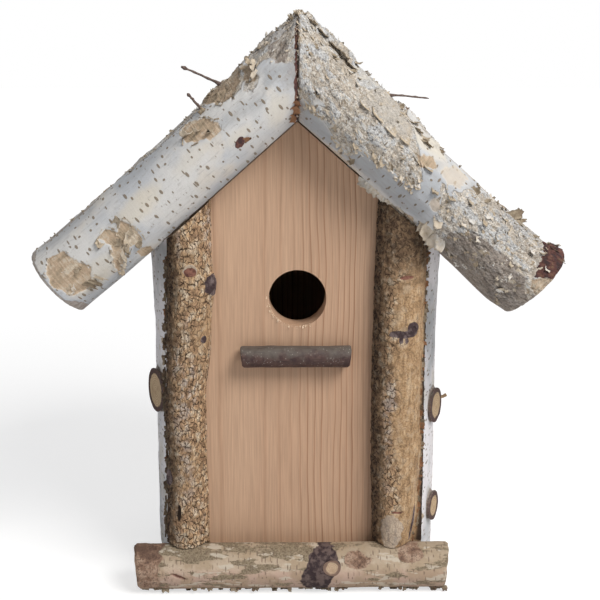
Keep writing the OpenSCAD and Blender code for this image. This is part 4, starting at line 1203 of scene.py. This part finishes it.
crack = calc("MAXIMUM", crack, jagged)
lilac = step(broad, 0.5, 0.66) * step(medium, 0.42, 0.6) * step(rough, 0.0, 0.6, 1.0, 0.0)
worn = ramp(fine * 0.45 + cloud(bark_uv, (520, 90, 1), 4.0, 0.65) * 0.55, (0.38, (0.11, 0.065, 0.035, 1)),
            (0.46, (0.29, 0.18, 0.09, 1)), (0.54, (0.45, 0.295, 0.16, 1)), (0.66, (0.6, 0.46, 0.31, 1)))
color = painted(
    ramp(shade, (0.25, (0.25, 0.155, 0.09, 1)), (0.4, (0.42, 0.265, 0.155, 1)), (0.52, POST_GOLD),
         (0.66, (0.74, 0.6, 0.44, 1))),
    (step(fine, 0.5, 0.7, 0.0, 0.4), (0.24, 0.15, 0.09, 1)),
    (lilac * 0.6, POST_LILAC),
    (peel * 0.85, worn),
    (step(peel, 0.88, 0.97, 0.0, 0.5), (0.53, 0.475, 0.42, 1)),
    # The rough mark: the posts' dark left parts, partly painted shade, and the painted shade at the right
    # post's head
    (rough * 0.78, (0.08, 0.05, 0.032, 1)),
    (crack, blend(jagged, POST_NET, POST_CRACK)),
    # Painted shade: near-black in the hollows, the creases and the gap at the right post's torn edge
    (mark_of(tree, "hollow"), POST_CRACK),
    (step(mark_of(tree, "rust") + fine * 0.4, 0.6, 0.9),
     blend(step(medium, 0.4, 0.6), (0.07, 0.03, 0.026, 1), (0.24, 0.11, 0.08, 1))),
    (step(mark_of(tree, "weather"), 0.3, 0.7),
     blend(step(medium, 0.45, 0.68), KNOT_PURPLE, (0.19, 0.145, 0.14, 1))))
dress(tree, color, 0.85, medium * 0.9 - crack * 1.2 + fine * 0.35, 0.55, specular=0.22)

# The posts' edges: height, left x and right x
LEFT_POST_EDGES = [(24, -74.4, -49.9), (83, -72.8, -50.9), (107, -74.0, -51.1), (135, -73.2, -47.4),
                   (164, -72.3, -46.5), (197, -71.2, -46.7)]
RIGHT_POST_EDGES = [(20, 42.0, 64.4), (47, 41.4, 68.0), (83, 40.8, 69.4), (106, 40.9, 68.6),
                    (163, 41.6, 69.8), (202, 42.9, 70.8)]
# Knots: height, angle from the left edge, width, swell. Scars: mark, height, angle, half lengths, depth.
# A hollow scar is a dent painted near-black, as painted shade in it
for name, edges, seed, knots, scars in (
        ("left_corner_post", LEFT_POST_EDGES, 2,
         [(172.3, 155, 14, 2.8), (63, 30, 11, 1.6), (143.2, 134, 5, 0.8)],
         [("rust", 181.4, 96, 2.8, 3.8, 0.7), ("peel", 182.2, 96, 3.8, 4.8, -0.1),
          ("hollow", 143.2, 134, 1.4, 1.2, 0.5), ("hollow", 44, 70, 5, 1.5, 0.8),
          ("hollow", 131, 8, 9, 3, 1.5)]),
        ("right_corner_post", RIGHT_POST_EDGES, 6, [(150.1, 118, 8, 1.8)],
         [("rust", 178, 100, 1.1, 4.2, 0.7), ("hollow", 150.1, 118, 1.3, 1.3, 1.0),
          ("weather", 146.6, 98, 2.3, 8, 0.1), ("peel", 33, 82, 11, 8, -0.2),
          ("rust", 44.4, 92, 0.8, 3.6, 0.4), ("weather", 143.6, 92, 2.2, 1.2, 0.1),
          ("weather", 143, 105, 1.7, 1, 0.1), ("weather", 35, 143, 11, 1.4, 0)])):
    skirt = 71.2 if edges is RIGHT_POST_EDGES else None
    post = timber(name + "_bark", 140, 300, POST_W * 1.7, (0, 0, 1),
                  post_surface(edges, seed, knots, scars, skirt), BARK_TURN)
    post_wood = sawn_wood(name + "_wood", (edges[0][1] + 13, BOARD_FACE - 2, 0), (0, 0, 0),
                          (0.46, 0.33, 0.21, 1), (0.30, 0.19, 0.11, 1), 1.8)
    fit(post, "post_bark", [POST_BARK, post_wood], name)

# Base log.
# A thin birch log, flat behind, is nailed across the foot of the front board. Its bark goes from brown cork
# at the left end to cream and pink, with a dark knot where a branch was cut off.
BASE_LEFT, BASE_RIGHT = -93, 86
KNOT_CUT = Vector((18.7, -86.6, 16.9))


def base_surface(share, turn):
    """The base log from left to right; turn 0 faces the front board and 0.5 the front."""
    angle = math.radians(turn * 360)
    end_lean = 1.6 * math.cos(angle - 0.6) + 0.5 * noise.noise(Vector((turn * 14, share, 3)))
    x = BASE_LEFT + 2 + share * (BASE_RIGHT - BASE_LEFT - 4) + end_lean * (2 * share - 1)
    probe = ring_point(x, 13, angle)
    ragged = 5 * wobble(probe, 9, 41) + 2.5 * wobble(probe, 2.6, 42)
    z_up = math.sin(angle)
    cork = soft_step(-72, -80, x + ragged) * soft_step(-0.9, -0.3, z_up + 0.4)
    on_top = soft_step(0.5, 0.8, z_up + ragged / 10) * soft_step(30, 10, x)
    foot = soft_step(1.0, 0.5, math.hypot((x - 33) / 9, (probe.z - 7) / 5) + ragged / 20)
    foot = max(foot, soft_step(1.0, 0.6, math.hypot((x - 62) / 9, (probe.z - 10) / 5) + ragged / 20))
    cork = max(cork, foot)
    height, rim = layers(probe, 7, 5, 4, 44)
    depth = 0.35 + 0.5 * (0.5 + 0.5 * wobble(probe, 24, 45)) + 0.12 * wobble(probe, 6, 46)
    depth += cork * (0.5 - 0.55 * height + 0.35 * rim)
    depth += 0.09 * noise.noise(Vector((x / 2.2, probe.y / 30, probe.z / 30)))
    branch = math.hypot((x - 12 - 0.2 * probe.z) / 9.5, (probe.z - 1) / 14) if math.cos(angle) < 0.3 else 9
    knot = soft_step(1.15, 0.8, branch + ragged / 22)
    depth -= 1.3 * swelling((x - 14) ** 2 + (probe.z - 3) ** 2, 22) * max(0, -math.cos(angle))
    depth += knot * 0.35 * wobble(probe, 2.5, 47)
    slit = soft_step(1, 0.6, math.hypot((x + 66) / 5, (probe.z + 1 + 0.4 * (x + 66)) / 1.1))
    depth += 0.9 * slit * (math.cos(angle) < 0)
    edge = min(share, 1 - share) * 176
    depth += 1.1 * soft_step(1.6, 0, edge)
    low = soft_step(-0.6, -0.9, z_up + ragged / 30)
    # Painted shade: the hollow mark darkens the cork at the foot of its layers' torn edges
    marks = {"peel": low, "rough": cork, "tone": max(height, 1 - cork) * (1 - on_top), "weather": knot,
             "rust": 0.9 * slit * (math.cos(angle) < 0), "hollow": min(1.0, 0.4 * rim * cork)}
    r = BASE_D / 2 - max(depth, -0.4)
    y = min(BASE_AXIS_Y + r * math.cos(angle), BOARD_FACE)
    return Vector((x, y, BASE_AXIS_Z + r * math.sin(angle))), marks


# Thin birch bark: cream above, pinkish below, brown cork in patches, and a purple-black knot
BASE_BARK, tree = new_material("base_bark")
place = node(tree, "TexCoord")["Object"]
fine = cloud(place, 1000, 3.0, 0.65)
medium = cloud(place, 260, 3.0, 0.6)
tone = mark_of(tree, "tone")
wavy = node(tree, "SeparateXYZ", {0: place})[2] + (medium - 0.5) * 0.006
streaks = cloud(place, (55, 120, 210), 5.0, 0.62)
dots = lenticels(node(tree, "UVMap", uv_map="bark"), 4.2, 2.6, 0.6, 0.7)
cork = painted(
    ramp(tone * 0.5 + medium * 0.6, (0.25, (0.12, 0.07, 0.05, 1)), (0.5, (0.26, 0.16, 0.11, 1)),
         (0.8, (0.42, 0.3, 0.22, 1))),
    (step(fine, 0.5, 0.65, 0.0, 0.7), (0.09, 0.055, 0.042, 1)))
color = painted(
    # By height the colour runs from dark at the bottom, through pink and cream, to darker at the top
    ramp(wavy * 38.0, (0.0, (0.27, 0.195, 0.15, 1)), (0.25, (0.43, 0.31, 0.25, 1)),
         (0.5, (0.48, 0.345, 0.27, 1)), (0.65, (0.49, 0.39, 0.295, 1)), (0.9, (0.38, 0.3, 0.215, 1))),
    (step(cloud(place, 75, 4.0), 0.45, 0.6, 0.0, 0.6), (0.33, 0.245, 0.155, 1)),
    (step(medium, 0.55, 0.75, 0.0, 0.35), (0.3, 0.21, 0.15, 1)),
    (step(streaks + (1.0 - tone) * 0.12, 0.54, 0.59),
     blend(step(fine, 0.4, 0.65), (0.27, 0.215, 0.145, 1), (0.14, 0.105, 0.07, 1))),
    (step(cloud(place, (80, 150, 260), 4.0, 0.6), 0.56, 0.62, 0.0, 0.8), (0.52, 0.455, 0.37, 1)),
    (dots * 0.7, (0.2, 0.14, 0.1, 1)),
    (step(mark_of(tree, "rough") + fine * 0.3, 0.45, 0.75), cork),
    (mark_of(tree, "peel") * 0.6, (0.33, 0.235, 0.17, 1)),
    (mark_of(tree, "rust"), (0.17, 0.07, 0.05, 1)),
    (step(mark_of(tree, "weather"), 0.35, 0.65),
     blend(step(medium, 0.42, 0.62), (0.035, 0.022, 0.024, 1), (0.12, 0.085, 0.078, 1))),
    # Painted shade in the cork's crevices
    (mark_of(tree, "hollow"), (0.05, 0.03, 0.022, 1)))
dress(tree, color, 0.8, medium + fine * 0.5 - dots * 0.5, 0.6, specular=0.25)

base = timber("base_birch", 150, 420, math.tau * 13, (1, 0, 0), base_surface)
fit(base, "base_bark", [BASE_BARK, cut_end("base_log_end", (0.50, 0.35, 0.20, 1), (0.33, 0.21, 0.115, 1),
                                           (0.10, 0.06, 0.045, 1), 1.5, 13)], "base_log")


def cut_surface(share, turn):
    """The cut branch that stands out of the base log's knot, tilted a little up."""
    angle, tilt = turn * math.tau, math.radians(82)
    r = (1 + 0.06 * wobble(ring_point(share * 6, 5, angle), 3, 51)) * (1 + 0.5 * soft_step(1.0, 0.0, share))
    ahead = Vector((0, -math.sin(tilt), math.cos(tilt)))
    up = Vector((0, math.cos(tilt), math.sin(tilt)))
    point = KNOT_CUT + ahead * (6.8 * share - 7) + Vector((4.9 * r * math.cos(angle), 0, 0))
    return point + up * (4.4 * r * math.sin(angle)), NO_MARKS | {"weather": 1.0}


branch = timber("base_branch_cut", 48, 14, 30, (0, 1, 0), cut_surface)
fit(branch, "base_bark", [BASE_BARK, cut_end("branch_end", (0.52, 0.39, 0.27, 1), (0.38, 0.26, 0.17, 1),
                                             (0.20, 0.13, 0.10, 1), 0.9, 5.2)])

# Torn fringes.
# Shreds of bark hang on the outer edges of the posts and under the base log, where they were split.
chance = random.Random(21)
bm = bmesh.new()
# A post's edge, how many, and spans of height, shift, depth, rise, length, width and curl
for side, edges, count, *spans in (
        (RIGHT, [(z, right) for z, _, right in RIGHT_POST_EDGES], 150,
         (24, 196), (-1.4, 0.2), (2.2, 4.5), (-0.3, 0.3), (0.8, 2.2), (1.2, 4), (0, 50)),
        (LEFT, [(z, left) for z, left, _ in LEFT_POST_EDGES], 120,
         (26, 188), (-0.2, 0.9), (1.0, 4.5), (-0.4, 0.4), (0.8, 2.0), (1.5, 5), (-20, 40))):
    for _ in range(count):
        z, shift, before, rise, *sizes = draw(chance, *spans)
        tone = chance.choice((-0.3, -0.3, 0.2, 0.45)) if side == RIGHT else chance.uniform(0.02, 0.3)
        root = Vector((between(edges, z) + shift, BOARD_FACE - before, z))
        ahead = Vector((0.95 if side == RIGHT else -0.9, -0.3, rise)).normalized()
        add_flake(bm, root, ahead, Vector((side * 0.3, -0.95, 0)), Vector((0, 0, 1)), *sizes, tone, chance)
for _ in range(46):
    x, turn, lean, *sizes = draw(chance, (BASE_LEFT + 3, BASE_RIGHT - 3), (225, 262), (-0.4, 0.4), (0.8, 2.4),
                                 (1.5, 5), (0, 40), (0.1, 0.6))
    out = ring_point(0, 1, math.radians(turn))
    root = Vector((x, BASE_AXIS_Y, BASE_AXIS_Z)) + out * (BASE_D / 2 - 0.9)
    add_flake(bm, root, Vector((lean, -0.5, -0.8)).normalized(), out, Vector((1, 0, 0)), *sizes, chance)
fit(as_object(bm, "torn_bark_fringe"), "post_bark", [BARK_PAPER])

# Stub twig.
# A thin side twig, cut short, still stands on the rim of the right wall's upper branch stub.
bm = bmesh.new()
start = stub_surface(RIGHT, *UPPER_STUB, 9)(0.75, 0.04)[0]
shifts = (-1.5, 0.4, 0), (1.2, -0.4, -0.4), (3.2, -0.9, 0.2), (5, -1.2, 1.4)
add_stick(bm, [start + Vector(shift) for shift in shifts], [3.4, 2.4, 1.8, 2.2])
twig_wood = sawn_wood("twig_wood", (78, -40, 90), (0, 90, 0), (0.40, 0.28, 0.17, 1),
                      (0.22, 0.14, 0.08, 1), 0.8)
fit(as_object(bm, "right_side_wall_twig"), "birch_slab", [twig_wood])

# Hole fibres.
# Pale wood fibres stand off the entrance hole's lower rim, where the drill tore them out of the front board.
HOLE_R = 16
HOLE_Z = 164
TO_FRONT = Vector((0, -1, 0))
chance = random.Random(5)
bm = bmesh.new()
for _ in range(46):
    turn = math.radians(chance.choice(draw(chance, (170, 235), (225, 300))))
    out = Vector((math.cos(turn), 0, math.sin(turn)))
    root = Vector((0, FACE_Y + 0.35, HOLE_Z)) + out * (HOLE_R - 0.2)
    far, lean, *sizes = draw(chance, (0.2, 1), (-0.5, 0.5), (0.6, 1.9), (0.4, 1.1), (-20, 50), (0.7, 1.0))
    ahead = (out * far + Vector((lean, -0.35, 0))).normalized()
    add_flake(bm, root, ahead, TO_FRONT, ahead.cross(TO_FRONT).normalized(), *sizes, chance, 0.15)
for face in bm.faces:
    face.smooth = False
torn_pine = sawn_wood("torn_pine", (0, FACE_Y + 30, 0), (0, 0, 0), (0.70, 0.55, 0.40, 1),
                      (0.50, 0.35, 0.22, 1))
fit(as_object(bm, "hole_fibres"), "pine_board", [torn_pine])

# Perch.
# A short dark stick, flat behind, is nailed on under the entrance. Its upper side is painted greyer.
PERCH_D = 12.4
PERCH_L = 62
PERCH_AT = Vector((-1, BOARD_FACE - PERCH_D / 2 + 1.4, 132.4))


def perch_surface(share, turn):
    """The perch from left to right; turn 0 faces the board and 0.25 is on top."""
    angle = math.radians(turn * 360)
    lean = 0.7 * math.cos(angle - 1.8) + 0.25 * noise.noise(Vector((turn * 12, share * 5, 8)))
    x = PERCH_AT.x - PERCH_L / 2 + 1.1 + share * (PERCH_L - 2.2) + lean * (2 * share - 1)
    probe = ring_point(x, 6, angle)
    depth = 0.25 + 0.2 * wobble(probe, 12, 61) + 0.1 * wobble(probe, 3, 62)
    depth += 0.06 * noise.noise(Vector((x / 8, probe.y / 1.0, probe.z / 1.0)))
    depth -= 0.7 * swelling((x + 15) ** 2 + (6 * (angle - 1.9)) ** 2, 6)
    depth -= 0.5 * swelling((x - 18) ** 2 + (6 * (angle - 2.3)) ** 2, 5)
    depth += 0.5 * soft_step(0.8, 0, min(share, 1 - share) * 60)
    grey = soft_step(-0.5, 1.0, math.sin(angle) + 0.6 * wobble(probe, 5, 63))
    r = PERCH_D / 2 - max(0.0, depth)
    y = min(PERCH_AT.y + r * math.cos(angle), BOARD_FACE)
    return Vector((x, y, PERCH_AT.z + r * math.sin(angle))), NO_MARKS | {"weather": grey}


# Smooth dark maroon bark, greyer on its upper side, with fine white specks and cracks along it
PERCH_BARK, tree = new_material("perch_bark")
place = node(tree, "TexCoord")["Object"]
fine = cloud(place, 1300, 3.0, 0.65)
medium = cloud(place, 330, 3.0, 0.6)
along = cloud(place, (90, 1100, 1100), 3.0)
specks = step(node(tree, "TexVoronoi", {"Vector": place, "Scale": 820.0})["Distance"], 0.24, 0.1)
color = painted(
    blend(step(medium, 0.35, 0.65), (0.038, 0.018, 0.017, 1), (0.08, 0.043, 0.036, 1)),
    (step(mark_of(tree, "weather") + (medium - 0.5) * 1.2, 0.1, 1.2, 0.0, 0.9), (0.1, 0.086, 0.072, 1)),
    (step(along, 0.58, 0.72, 0.0, 0.7), (0.02, 0.012, 0.011, 1)),
    (specks * step(medium, 0.44, 0.58) * 0.75, (0.42, 0.39, 0.35, 1)))
dress(tree, color, step(medium, 0.3, 0.7, 0.5, 0.7), fine * 0.5 + along * -0.6, 0.22)

perch = timber("perch_stick", 96, 160, math.tau * 6.2, (1, 0, 0), perch_surface)
fit(perch, "perch_bark", [PERCH_BARK, cut_end("perch_end", (0.36, 0.25, 0.16, 1), (0.22, 0.14, 0.09, 1),
                                              (0.05, 0.03, 0.025, 1), 0.9, 6.2)], "perch")

# Floor hatch and turn button.
# The floor is a planed board that turns on two nails near the back board. A small wooden button on a screw
# under the front board holds it shut. Both are plain pine like the boards, the button from a harder piece.
wear("floor_hatch", sawn_wood("hatch_pine", (0, 15, 62), (0, 90, 0), (0.55, 0.37, 0.24, 1),
                              (0.36, 0.20, 0.12, 1), 3.0))
wear("turn_button", sawn_wood("button_wood", (0, -54, -22), (0, 90, 0), (0.52, 0.335, 0.19, 1),
                              (0.33, 0.19, 0.10, 1), 1.6))

# Nails and screw.
# Round zinc-coated nails and one countersunk screw, dulled by weather, with a trace of rust.
NAIL_STEEL, tree = new_material("nail_steel")
place = node(tree, "TexCoord")["Object"]
fine = cloud(place, 1800, 3.0, 0.6)
rust = step(cloud(place, 420, 3.0), 0.56, 0.7, 0.0, 0.75)
color = blend(rust, (0.42, 0.42, 0.43, 1), (0.25, 0.11, 0.05, 1))
dress(tree, color, step(fine, 0.3, 0.7, 0.34, 0.5), fine, 0.03, metallic=0.9, specular=0.5)
for cad_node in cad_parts:
    if cad_node.endswith(("_nails", "_screw")):
        wear(cad_node, NAIL_STEEL)

# Floor, light and camera.
# The box stands on a pale floor in front of a white ground, under a soft key light from the upper right. From
# below, the floor is clear, so that the hatch and the button can be seen.
bm = bmesh.new()
bmesh.ops.create_grid(bm, x_segments=1, y_segments=1, size=30)
floor = as_object(bm, "studio_floor")
floor_paint, tree = new_material("floor_paint")
seen = node(tree, "LightPath")["Is Camera Ray"]
ground = node(tree, "TexCoord")["Object"]
far = step(on_vector("LENGTH", ground)["Value"], 0.3, 0.9) * seen
pale = blend(cloud(ground, 3.0), (0.86, 0.86, 0.86, 1), (0.88, 0.88, 0.88, 1))
shader = tree.nodes["Principled BSDF"]
fill(tree, shader.inputs, {
    "Base Color": painted(pale, (seen, (0.45, 0.45, 0.45, 1)), (far, (0, 0, 0, 1))), "Roughness": 0.9,
    "Specular IOR Level": 0.1, "Emission Color": (1, 1, 1, 1), "Emission Strength": seen * 0.64 + far * 0.36})
one_sided = node(tree, "MixShader", {0: node(tree, "NewGeometry")["Backfacing"], 1: Value(shader.outputs[0]),
                                     2: node(tree, "BsdfTransparent")})
fill(tree, tree.nodes["Material Output"].inputs, {"Surface": one_sided})
floor.data.materials.append(floor_paint)

# Soft square lamps aimed at the middle of the box: place in metres, power, size and colour
for name, place, power, size, color in (("key_light", (0.72, -0.82, 1.2), 24, 0.7, (1, 0.985, 0.96)),
                                        ("fill_light", (-1.4, -1.0, 0.6), 4, 1.4, (0.97, 0.985, 1)),
                                        ("back_light", (0.3, 1.6, 1.0), 8, 1.4, (1, 1, 1))):
    light = bpy.data.lights.new(name, "AREA")
    light.energy, light.size, light.color = power, size, color
    lamp = bpy.data.objects.new(name, light)
    lamp.location = place
    lamp.rotation_euler = (Vector((0, 0, 0.16)) - Vector(place)).to_track_quat("-Z", "Y").to_euler()
    bpy.context.scene.collection.objects.link(lamp)

world = bpy.data.worlds.new("studio")
bpy.context.scene.world = world
world.use_nodes = True
tree = world.node_tree
ray = node(tree, "LightPath")
mirrored = calc("MAXIMUM", ray["Is Glossy Ray"], ray["Is Transmission Ray"])
shown = calc("MAXIMUM", ray["Is Camera Ray"], mirrored)
fill(tree, tree.nodes["Background"].inputs, {"Color": blend(shown, (0.185, 0.19, 0.2, 1), (1, 1, 1, 1))})

view = bpy.data.cameras.new("photo_view")
view.lens, view.sensor_width = 65.4, 36
view.shift_x, view.shift_y = 0.0048, -0.0815
camera = bpy.data.objects.new("photo_view", view)
camera.location = (-0.010, -0.653, 0.284)
camera.rotation_euler = (math.radians(81), 0, math.radians(-0.95))
bpy.context.scene.collection.objects.link(camera)
bpy.context.scene.camera = camera
